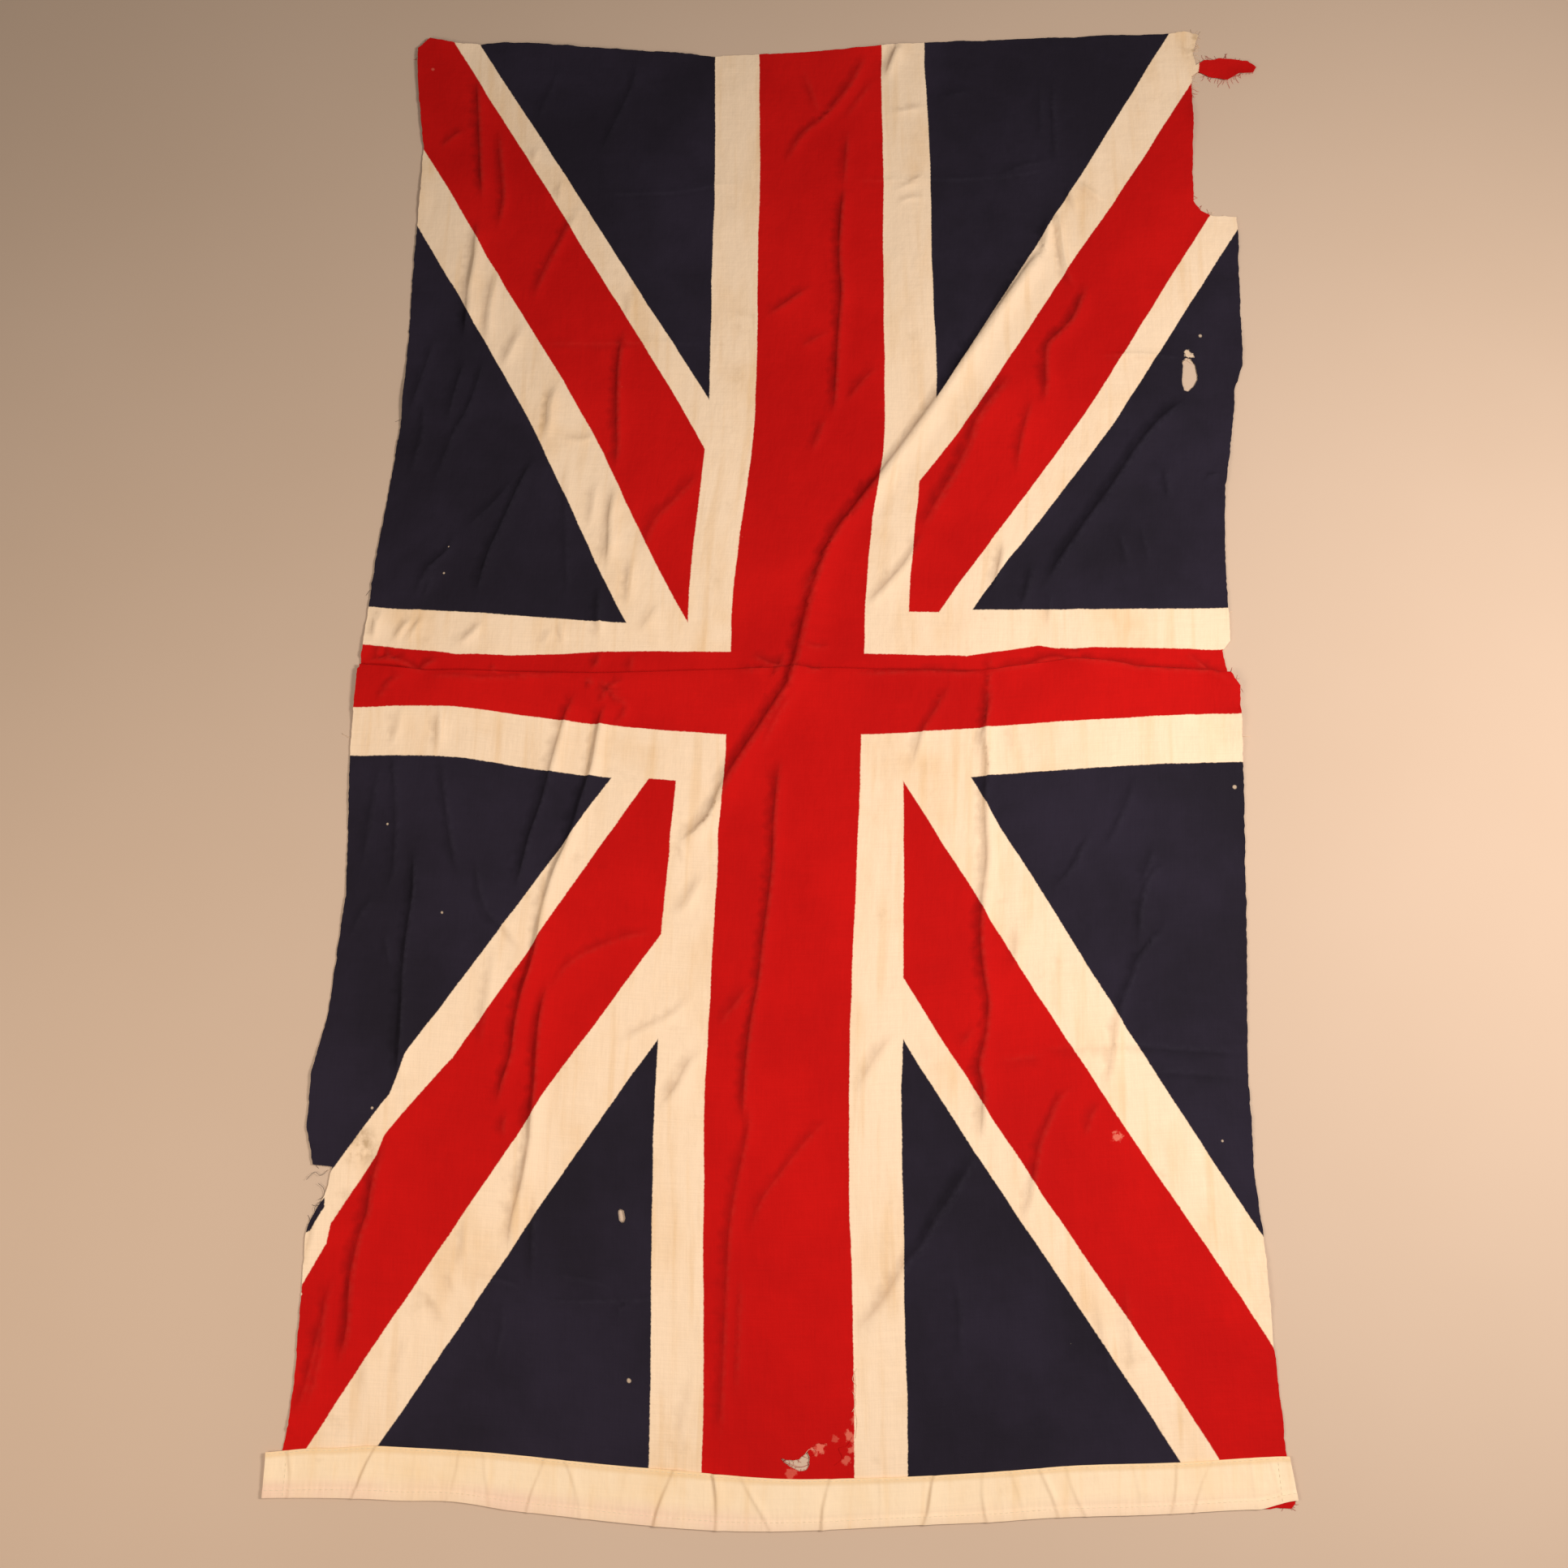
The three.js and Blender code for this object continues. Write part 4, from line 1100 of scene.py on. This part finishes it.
# Frayed ends all round the torn edge and the holes, other than under the tape.
def buildFray():
    rng = random.Random(11)
    bundle = TubeBundle(3)
    inset = frayed["rootInset"]
    hiddenFrom, hiddenTo, hiddenOut = frayed["tapeCovers"]
    ends = []
    for loop, outward in [(tornEdge, 1), *[(hole, -1) for hole in holes]]:
        sign = outward * turningOf(loop)
        dense = fray(loop, frayed["every"], 0.3, 1)
        for i, (across, along) in enumerate(dense):
            if outward > 0 and hiddenFrom < along < hiddenTo and abs(across) < hiddenOut:
                continue
            before, after = dense[i - 1], dense[(i + 1) % len(dense)]
            dx, dy = after[0] - before[0], after[1] - before[1]
            size = math.hypot(dx, dy) + 1e-6
            nx, ny = sign * dy / size, -sign * dx / size
            tuft = tuftAt(across, along)
            if tuft and rng.random() < tuft[5]:
                length = rng.uniform(tuft[3], tuft[4])
            elif rng.random() < frayed["longShare"]:
                length = rng.uniform(*frayed["long"])
            elif rng.random() < frayed["shortShare"]:
                length = rng.uniform(*frayed["short"])
            else:
                continue
            ends.append((across - nx * inset, along - ny * inset, nx, ny, length))
    roots = clothTop([end[0] for end in ends], [end[1] for end in ends])
    for (across, along, nx, ny, length), root in zip(ends, roots):
        root[2] -= frayed["rootSunk"]
        heading = math.atan2(ny, nx) + rng.uniform(-frayed["turn"], frayed["turn"])
        line = looseThread(rng, root, heading, length, frayed["floorHeight"], rng.uniform(*frayed["wander"]))
        cut = ((across - 2 * nx) * mm, (along - 2 * ny) * mm, 1)
        bundle.add(line, frayed["radius"] * rng.uniform(*frayed["width"]), cut)
    for (across, along), strand in frayed["strands"]:
        line, _ = smoothLine(strand, frayed["strandStep"])
        laid = clothTop(line[:, 0], line[:, 1])
        laid[:, 2] += frayed["strandLift"]
        bundle.add(laid, frayed["radius"] * frayed["strandWidth"], (across * mm, along * mm, 1))
    return bundle.build("frayedThreads")


def paint(red, green, blue):
    def linear(value):
        value /= 255
        return value / 12.92 if value < 0.04045 else ((value + 0.055) / 1.055) ** 2.4
    return (linear(red), linear(green), linear(blue), 1)


# The printed fields on the flat cloth. Corners at a torn edge lie past it.
printFields = {
    "red": [
        [(-68, -40), (68, -40), (68, 1640), (-68, 1640)],
        [(-500, 728.5), (500, 728.5), (500, 856), (-500, 856)],
        [(-500, 850), (-345, 850), (-346, 856.3), (-379, 862), (-416, 866), (-440, 868), (-500, 868)],
        [(-290, 850), (190, 850), (170, 861), (-63, 863.7), (-190, 862.7), (-231, 860), (-290, 856)],
        [(165, 850), (280, 850), (262, 870), (245, 873), (212, 867.5), (165, 859.5)],
        [(262, 850), (500, 850), (500, 869), (303, 871.5), (262, 869.8)],
        [(-538, 1611), (-112, 894), (-117, 1086), (-469, 1679)],
        [(113, 907), (143, 907), (524, 1532), (514, 1695), (111, 1051)],
        [(-141, 678), (-115, 678), (-118, 525), (-516, -110), (-599, -110)],
        [(111, 679), (117, 484), (485, -112), (598, -111)],
        [(422, 1534), (500, 1534), (500, 1572), (427, 1572)],
        [(-309, 390), (-367, 315), (-375, 293), (-340, 290), (-300, 380)],
        [(-374, 296), (-413, 234), (-416, 214), (-400, 210), (-345, 300)],
        [(-415, 217), (-438, 176), (-434, 166), (-402, 200), (-406, 216)],
    ],
    "navy": [
        [(-420, 1640), (-117, 1640), (-117, 1143)],
        [(-500, 1453), (-500, 912), (-174, 893)],
        [(117, 1640), (418, 1640), (122, 1146)],
        [(500, 1425), (500, 915), (177, 910)],
        [(-500, 680), (-177, 675), (-462, 213)],
        [(-115, 424), (-358, 45), (-412, -40), (-116, -40)],
        [(177, 679), (500, 679), (500, 140)],
        [(118, 426), (360, 33), (405, -40), (115, -40)],
        [(-352, 392), (-365, 352), (-415, 281), (-450, 281), (-450, 400)],
        [(-420, 256), (-419.5, 248), (-431.5, 226.5), (-438, 224), (-438, 236)],
    ],
}


def addNode(tree, kind, **settings):
    node = tree.nodes.new(kind)
    for name, value in settings.items():
        setattr(node, name, value)
    return node


def plug(tree, source, socket):
    if isinstance(source, bpy.types.NodeSocket):
        tree.links.new(source, socket)
    else:
        socket.default_value = source


def calc(tree, operation, first, second=0.0):
    node = addNode(tree, "ShaderNodeMath", operation=operation)
    plug(tree, first, node.inputs[0])
    plug(tree, second, node.inputs[1])
    return node.outputs[0]


def calcVector(tree, operation, first, second, output="Vector"):
    node = addNode(tree, "ShaderNodeVectorMath", operation=operation)
    plug(tree, first, node.inputs[0])
    plug(tree, second, node.inputs[1])
    return node.outputs[output]


# Turns a range of values into 0 to 1, or into the given range, with soft ends.
def ramp(tree, value, start, end, low=0.0, high=1.0, soft=True):
    node = addNode(tree, "ShaderNodeMapRange", interpolation_type="SMOOTHSTEP" if soft else "LINEAR")
    for socket, source in zip(node.inputs, (value, start, end, low, high)):
        plug(tree, source, socket)
    return node.outputs[0]


def mixColour(tree, share, first, second, blend="MIX"):
    node = addNode(tree, "ShaderNodeMix", data_type="RGBA", blend_type=blend)
    plug(tree, share, node.inputs[0])
    plug(tree, first, node.inputs[6])
    plug(tree, second, node.inputs[7])
    return node.outputs[2]


def cloudy(tree, place, scale, detail=2.0, roughness=0.5, stretch=(1, 1, 1), output="Fac"):
    scaled = calcVector(tree, "MULTIPLY", place, stretch)
    node = addNode(tree, "ShaderNodeTexNoise")
    plug(tree, scaled, node.inputs["Vector"])
    node.inputs["Scale"].default_value = scale
    node.inputs["Detail"].default_value = detail
    node.inputs["Roughness"].default_value = roughness
    return node.outputs[output]


def newGroup(name, inputs, outputs):
    tree = bpy.data.node_groups.new(name, "ShaderNodeTree")
    for label, kind, value in inputs:
        socket = tree.interface.new_socket(name=label, in_out="INPUT", socket_type=kind)
        if value is not None:
            socket.default_value = value
    for label, kind in outputs:
        tree.interface.new_socket(name=label, in_out="OUTPUT", socket_type=kind)
    return tree, addNode(tree, "NodeGroupInput").outputs, addNode(tree, "NodeGroupOutput").inputs


vectorSocket, floatSocket = "NodeSocketVector", "NodeSocketFloat"


# How far inside a printed field a place lies: the least of its distances from the sides.
def fieldDistance(tree, place, corners):
    sign = turningOf(corners)
    nearest = None
    for (ax, ay), (bx, by) in zip(corners, [*corners[1:], corners[0]]):
        length = math.hypot(bx - ax, by - ay)
        nx, ny = -sign * (by - ay) / length, sign * (bx - ax) / length
        side = (nx, ny, -(nx * ax + ny * ay) * mm)
        distance = calcVector(tree, "DOT_PRODUCT", place, side, "Value")
        nearest = distance if nearest is None else calc(tree, "MINIMUM", nearest, distance)
    return nearest


# The printed pattern: masks of the red and the navy, from the place on the flat cloth.
def flagPrintGroup():
    tree, given, results = newGroup(
        "flagPrint",
        [("Place", vectorSocket, None), ("Bleed", floatSocket, 0.0006), ("Wander", floatSocket, 0.0022)],
        [("Red", floatSocket), ("Navy", floatSocket)],
    )
    broad = cloudy(tree, given["Place"], 22, 2, output="Color")
    fine = cloudy(tree, given["Place"], 420, 1, output="Color")
    offset = calcVector(tree, "SUBTRACT", broad, (0.5, 0.5, 0.5))
    offset = calcVector(tree, "MULTIPLY", offset, (1, 1, 0))
    scaled = addNode(tree, "ShaderNodeVectorMath", operation="SCALE")
    plug(tree, offset, scaled.inputs[0])
    plug(tree, given["Wander"], scaled.inputs["Scale"])
    fineOffset = calcVector(tree, "SUBTRACT", fine, (0.5, 0.5, 0.5))
    fineOffset = calcVector(tree, "MULTIPLY", fineOffset, (0.0012, 0.0012, 0))
    place = calcVector(tree, "ADD", given["Place"], scaled.outputs[0])
    place = calcVector(tree, "ADD", place, fineOffset)
    place = calcVector(tree, "MULTIPLY", place, (1, 1, 0))
    place = calcVector(tree, "ADD", place, (0, 0, 1))
    spread = calc(tree, "MULTIPLY", given["Bleed"], -1.0)
    for colour, label in (("red", "Red"), ("navy", "Navy")):
        inside = None
        for corners in printFields[colour]:
            distance = fieldDistance(tree, place, corners)
            inside = distance if inside is None else calc(tree, "MAXIMUM", inside, distance)
        plug(tree, ramp(tree, inside, spread, given["Bleed"]), results[label])
    return tree


# Plain weave with uneven threads: its height in metres, and how the threads vary in tone.
def plainWeaveGroup():
    tree, given, results = newGroup(
        "plainWeave",
        [("Place", vectorSocket, None), ("Thread", floatSocket, 0.00052), ("Depth", floatSocket, 0.00003)],
        [("Height", floatSocket), ("Tone", floatSocket)],
    )
    turns = calc(tree, "DIVIDE", math.pi, given["Thread"])
    parts = addNode(tree, "ShaderNodeSeparateXYZ")
    plug(tree, given["Place"], parts.inputs[0])
    overX = calc(tree, "SINE", calc(tree, "MULTIPLY", parts.outputs[0], turns))
    overY = calc(tree, "SINE", calc(tree, "MULTIPLY", parts.outputs[1], turns))
    weave = calc(tree, "MULTIPLY", overX, overY)
    alongThreads = cloudy(tree, given["Place"], 1, 2, stretch=(900, 28, 1))
    acrossThreads = cloudy(tree, given["Place"], 1, 2, stretch=(24, 900, 1))
    slubs = calc(tree, "ADD", alongThreads, acrossThreads)
    plug(tree, slubs, results["Tone"])
    uneven = calc(tree, "ADD", weave, calc(tree, "MULTIPLY", slubs, 1.4))
    plug(tree, calc(tree, "MULTIPLY", uneven, given["Depth"]), results["Height"])
    return tree


stains = {
    # soft dirty patches: across, along, radius, strength
    "grime": [
        (-391, 305, 26, 0.8), (-402, 250, 18, 0.5), (-84, 1237, 22, 0.22), (426, 1583, 26, 0.9),
        (470, 1556, 24, 0.7), (-345, 612, 16, 0.5), (401, 388, 10, 0.5),
        (-331, 527, 12, 0.4), (-448, 1545, 22, 0.5),
    ],
    # places where the print is rubbed thin: across, along, radius, strength
    "worn": [
        (37, 67, 7, 1.3), (33, 64, 5, 1.2), (50, 74, 5, 0.5), (65, 76, 7, 1.1), (67, 65, 7, 1.1),
        (61, 55, 6, 0.8), (69, 90, 6, 0.7), (69, 114, 6, 0.6), (392, 1201, 7, 1.0), (12, 46, 8, 0.7),
        (319, 320, 8, 1.3),
    ],
    # pale specks where the print has worn away: across, along, radius
    "specks": [
        (-135, 118, 2.6), (-432, 1544, 2.2), (406, 1223, 2.2), (-394, 610, 1.4), (-365, 974, 1.3),
        (-365, 945, 1.2), (-380, 339, 1.6), (418, 312, 1.6), (440, 654, 2.2), (-331, 527, 1.5),
    ],
}


def distanceFrom(tree, place, across, along):
    return calcVector(tree, "DISTANCE", place, (across * mm, along * mm, 0), "Value")


# Age: broad yellowing, grime in patches, rubbed places and specks of lost print.
def ageStainsGroup():
    tree, given, results = newGroup(
        "ageStains",
        [("Place", vectorSocket, None)],
        [("Yellow", floatSocket), ("Grime", floatSocket), ("Specks", floatSocket), ("Fade", floatSocket)],
    )
    flatPlace = calcVector(tree, "MULTIPLY", given["Place"], (1, 1, 0))
    streaks = cloudy(tree, flatPlace, 14, 3, 0.6, stretch=(1.6, 0.5, 1))
    blotches = cloudy(tree, flatPlace, 8, 4, 0.6)
    lines = cloudy(tree, flatPlace, 40, 2, 0.5, stretch=(2.2, 0.16, 1))
    yellow = calc(tree, "ADD", ramp(tree, streaks, 0.45, 0.75), ramp(tree, blotches, 0.5, 0.75))
    yellow = calc(tree, "ADD", yellow, ramp(tree, lines, 0.5, 0.75))
    plug(tree, calc(tree, "MULTIPLY", yellow, 0.32), results["Yellow"])
    grime = ramp(tree, cloudy(tree, flatPlace, 26, 4, 0.6), 0.6, 0.8, 0, 0.22)
    breakUp = cloudy(tree, flatPlace, 62, 3, 0.6)
    for across, along, radius, strength in stains["grime"]:
        distance = distanceFrom(tree, flatPlace, across, along)
        spot = ramp(tree, distance, radius * mm, radius * 0.15 * mm, 0, strength)
        grime = calc(tree, "MAXIMUM", grime, calc(tree, "MULTIPLY", spot, ramp(tree, breakUp, 0.38, 0.66)))
    plug(tree, grime, results["Grime"])
    specks = ramp(tree, cloudy(tree, flatPlace, 190, 1), 0.85, 0.87, 0, 0.4)
    ragged = calc(tree, "SUBTRACT", cloudy(tree, flatPlace, 170, 3, 0.65), 0.5)
    ragged = calc(tree, "MULTIPLY", ragged, 0.016)
    for across, along, radius, strength in stains["worn"]:
        distance = distanceFrom(tree, flatPlace, across, along)
        distance = calc(tree, "ADD", distance, ragged)
        spot = ramp(tree, distance, radius * 0.75 * mm, radius * 0.35 * mm, 0, strength)
        specks = calc(tree, "MAXIMUM", specks, spot)
    for across, along, radius in stains["specks"]:
        distance = distanceFrom(tree, flatPlace, across, along)
        wobble = calc(tree, "MULTIPLY", calc(tree, "SUBTRACT", breakUp, 0.5), 0.004)
        distance = calc(tree, "ADD", distance, wobble)
        specks = calc(tree, "MAXIMUM", specks, ramp(tree, distance, radius * mm, radius * 0.4 * mm, 0, 0.7))
    plug(tree, specks, results["Specks"])
    plug(tree, cloudy(tree, flatPlace, 5, 5, 0.62), results["Fade"])
    return tree


cottonLook = {
    "cream": paint(252, 223, 192),
    "yellowed": paint(234, 192, 142),
    "grime": paint(178, 146, 108),
    # the next three colours are painted shade at the feet of the creases; the brown one on the cream also
    # stands for dirt
    "creaseShadeAndDirt": paint(168, 128, 98),
    "shadedRed": paint(96, 4, 6),
    "shadedNavy": paint(14, 11, 17),
    "red": paint(190, 11, 9),
    "redFaded": paint(204, 18, 15),
    "navy": paint(33, 28, 38),
    "navyFaded": paint(43, 37, 50),
    "wornRed": paint(228, 118, 98),
    "wornNavy": paint(96, 92, 108),
}


def placeGroup(tree, group, place, **values):
    node = addNode(tree, "ShaderNodeGroup", node_tree=group)
    plug(tree, place, node.inputs["Place"])
    for name, value in values.items():
        node.inputs[name].default_value = value
    return node.outputs


def newMaterial(name):
    material = bpy.data.materials.new(name)
    material.use_nodes = True
    tree = material.node_tree
    shader = tree.nodes["Principled BSDF"]
    shader.inputs["Specular IOR Level"].default_value = 0.1
    return material, tree, shader


def readAttribute(tree, name, output="Vector"):
    return addNode(tree, "ShaderNodeAttribute", attribute_name=name).outputs[output]


def bumpFrom(tree, shader, height):
    bump = addNode(tree, "ShaderNodeBump")
    bump.inputs["Strength"].default_value = 1.0
    bump.inputs["Distance"].default_value = 1.0
    plug(tree, height, bump.inputs["Height"])
    plug(tree, bump.outputs[0], shader.inputs["Normal"])


def printedCotton(groups, name, worn=True):
    material, tree, shader = newMaterial(name)
    place = readAttribute(tree, "cutPlace")
    pattern = placeGroup(tree, groups["print"], place)
    weave = placeGroup(tree, groups["weave"], place)
    age = placeGroup(tree, groups["age"], place)
    fade = ramp(tree, age["Fade"], 0.35, 0.68)
    cream = mixColour(tree, age["Yellow"], cottonLook["cream"], cottonLook["yellowed"])
    cream = mixColour(tree, age["Grime"], cream, cottonLook["grime"])
    red = mixColour(tree, fade, cottonLook["red"], cottonLook["redFaded"])
    navy = mixColour(tree, fade, cottonLook["navy"], cottonLook["navyFaded"])
    if worn:
        creaseMarks = readAttribute(tree, "creaseWear", "Fac")
        # painted shade with some dirt at the foot of each crease's steep side: brown on the cream, darker
        # red and navy
        shadeAndDirt = readAttribute(tree, "creaseShadeAndDirt", "Fac")
        shadeAndDirt = calc(tree, "MULTIPLY", shadeAndDirt, ramp(tree, cloudy(tree, place, 70, 3), 0.3, 0.6, 0.45, 1.0))
        cream = mixColour(tree, calc(tree, "MULTIPLY", shadeAndDirt, 0.34), cream, cottonLook["creaseShadeAndDirt"])
        red = mixColour(tree, calc(tree, "MULTIPLY", shadeAndDirt, 0.5), red, cottonLook["shadedRed"])
        navy = mixColour(tree, calc(tree, "MULTIPLY", shadeAndDirt, 0.5), navy, cottonLook["shadedNavy"])
        rub = calc(tree, "MULTIPLY", creaseMarks, ramp(tree, cloudy(tree, place, 160, 3), 0.35, 0.65, 0.15, 0.55))
        red = mixColour(tree, calc(tree, "MULTIPLY", rub, 0.1), red, cottonLook["wornRed"])
        navy = mixColour(tree, calc(tree, "MULTIPLY", rub, 0.14), navy, cottonLook["wornNavy"])
    speckShare = calc(tree, "MULTIPLY", age["Specks"], 0.75)
    navy = mixColour(tree, speckShare, navy, cottonLook["cream"])
    red = mixColour(tree, calc(tree, "MULTIPLY", speckShare, 0.9), red, cottonLook["wornRed"])
    colour = mixColour(tree, pattern["Navy"], cream, navy)
    colour = mixColour(tree, pattern["Red"], colour, red)
    tone = ramp(tree, weave["Tone"], 0.7, 1.3, 0.955, 1.035, soft=False)
    colour = mixColour(tree, 1.0, colour, tone, "MULTIPLY")
    plug(tree, colour, shader.inputs["Base Color"])
    plug(tree, ramp(tree, age["Fade"], 0.3, 0.7, 0.8, 0.95), shader.inputs["Roughness"])
    crumple = cloudy(tree, place, 62, 3, 0.55, stretch=(1, 0.6, 1))
    fold = cloudy(tree, place, 190, 2, 0.5)
    height = calc(tree, "MULTIPLY", crumple, 0.0011)
    height = calc(tree, "ADD", height, calc(tree, "MULTIPLY", fold, 0.00022))
    height = calc(tree, "ADD", height, weave["Height"])
    bumpFrom(tree, shader, height)
    return material


tapeLook = {
    "cotton": paint(255, 228, 194),
    "yellowed": paint(244, 204, 152),
    "pink": paint(246, 208, 184),
    "grime": paint(186, 150, 108),
    # painted shade at the foot of the puckers, with some dirt
    "creaseShadeAndDirt": paint(176, 130, 86),
}


def tapeCotton(groups):
    material, tree, shader = newMaterial("tapeCotton")
    place = readAttribute(tree, "cutPlace")
    parts = addNode(tree, "ShaderNodeSeparateXYZ")
    plug(tree, place, parts.inputs[0])
    up = parts.outputs[2]
    weave = placeGroup(tree, groups["weave"], place, Thread=0.0007, Depth=0.00002)
    age = placeGroup(tree, groups["age"], place)
    topEdge = ramp(tree, up, 0.84, 0.93)
    pinkAlong = ramp(tree, parts.outputs[0], 0.16, -0.05, 0.45, 1.0)
    pink = calc(tree, "MULTIPLY", ramp(tree, up, 0.5, 0.16), pinkAlong)
    pink = calc(tree, "MULTIPLY", pink, ramp(tree, age["Fade"], 0.4, 0.62, 0.25, 0.85))
    colour = mixColour(tree, age["Yellow"], tapeLook["cotton"], tapeLook["yellowed"])
    colour = mixColour(tree, pink, colour, tapeLook["pink"])
    colour = mixColour(tree, calc(tree, "MULTIPLY", topEdge, 0.55), colour, tapeLook["yellowed"])
    colour = mixColour(tree, age["Grime"], colour, tapeLook["grime"])
    # painted shade, with some dirt, on the -X side of each pucker, broken up in patches
    patchy = ramp(tree, age["Fade"], 0.3, 0.7, 0.15, 0.42)
    shadeAndDirt = calc(tree, "MULTIPLY", readAttribute(tree, "creaseShadeAndDirt", "Fac"), patchy)
    colour = mixColour(tree, shadeAndDirt, colour, tapeLook["creaseShadeAndDirt"])
    tone = ramp(tree, weave["Tone"], 0.7, 1.3, 0.975, 1.02, soft=False)
    colour = mixColour(tree, 1.0, colour, tone, "MULTIPLY")
    plug(tree, colour, shader.inputs["Base Color"])
    plug(tree, ramp(tree, age["Fade"], 0.3, 0.7, 0.82, 0.95), shader.inputs["Roughness"])
    crumple = cloudy(tree, place, 150, 3, 0.55, stretch=(1.3, 0.7, 0))
    height = calc(tree, "ADD", calc(tree, "MULTIPLY", crumple, 0.0005), weave["Height"])
    bumpFrom(tree, shader, height)
    return material


def sewingThread():
    material, tree, shader = newMaterial("sewingThread")
    place = addNode(tree, "ShaderNodeTexCoord").outputs["Object"]
    colour = mixColour(tree, cloudy(tree, place, 90, 2), paint(224, 204, 170), paint(246, 232, 206))
    plug(tree, colour, shader.inputs["Base Color"])
    shader.inputs["Roughness"].default_value = 0.8
    return material


studio = {
    "floor": paint(215, 189, 168),
    "floorShade": paint(209, 182, 159),
    "floorSize": 4.0,
    "lens": 35,
    "cameraPlace": (-17.35, 319.48, 1467.85),
    "tilt": 13.76,
    "roll": 1.79,
    "lights": [  # name, place, aim, size, power, colour
        ("keyLight", (1.1, -0.1, 1.3), (0.2, -0.15, 0), 0.5, 23.4, (1.0, 0.94, 0.87)),
        ("fillLight", (-0.8, -0.7, 1.1), (-0.2, -0.2, 0), 0.7, 7.6, (1.0, 0.88, 0.74)),
    ],
    "sky": (1.0, 0.97, 0.93, 1),
    "skyStrength": 0.2,
}


def buildStudio():
    half = studio["floorSize"] / 2
    corners = [(-half, -half, 0), (half, -half, 0), (half, half, 0), (-half, half, 0)]
    floor = newMesh("floor", corners, [(0, 1, 2, 3)])
    material, tree, shader = newMaterial("paleFloor")
    place = addNode(tree, "ShaderNodeTexCoord").outputs["Object"]
    colour = mixColour(tree, cloudy(tree, place, 3, 3), studio["floor"], studio["floorShade"])
    plug(tree, colour, shader.inputs["Base Color"])
    shader.inputs["Roughness"].default_value = 0.75
    floor.data.materials.append(material)
    for name, place, aim, size, power, colour in studio["lights"]:
        data = bpy.data.lights.new(name, "AREA")
        data.shape = "DISK"
        data.size = size
        data.energy = power
        data.color = colour
        light = bpy.data.objects.new(name, data)
        light.location = place
        light.rotation_euler = (Vector(aim) - Vector(place)).to_track_quat("-Z", "Y").to_euler()
        bpy.context.scene.collection.objects.link(light)
    world = bpy.data.worlds.new("softRoom")
    world.use_nodes = True
    background = world.node_tree.nodes["Background"]
    background.inputs["Color"].default_value = studio["sky"]
    background.inputs["Strength"].default_value = studio["skyStrength"]
    bpy.context.scene.world = world
    bpy.context.scene.view_settings.view_transform = "Standard"


# The camera looks down over the hoist half, tilted a little towards the fly.
def buildCamera():
    data = bpy.data.cameras.new("camera")
    data.lens = studio["lens"]
    data.sensor_width = 36
    tilt, roll = math.radians(studio["tilt"]), math.radians(studio["roll"])
    right = Vector((math.cos(roll), math.sin(roll) * math.cos(tilt), math.sin(roll) * math.sin(tilt)))
    back = Vector((0, -math.sin(tilt), math.cos(tilt)))
    over = back.cross(right)
    camera = bpy.data.objects.new("camera", data)
    turned = Matrix((right, over, back)).transposed().to_4x4()
    camera.matrix_world = Matrix.Translation(Vector(toFrame(studio["cameraPlace"]))) @ turned
    bpy.context.scene.collection.objects.link(camera)
    bpy.context.scene.camera = camera


def dress(piece, material):
    piece.data.materials.append(material)
    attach(piece, "root")


buildStudio()
buildCamera()
print("studio and camera are set")

groups = {"print": flagPrintGroup(), "weave": plainWeaveGroup(), "age": ageStainsGroup()}
cloth, clothArea = buildCloth()
heading, tapeSurface = buildTape()
stitches = buildStitches(tapeSurface)
threads = buildFray()
print("pieces are made")

dress(cloth, printedCotton(groups, "printedCotton"))
dress(threads, printedCotton(groups, "looseCotton", worn=False))
dress(heading, tapeCotton(groups))
dress(stitches, sewingThread())
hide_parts("cloth")
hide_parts("heading")
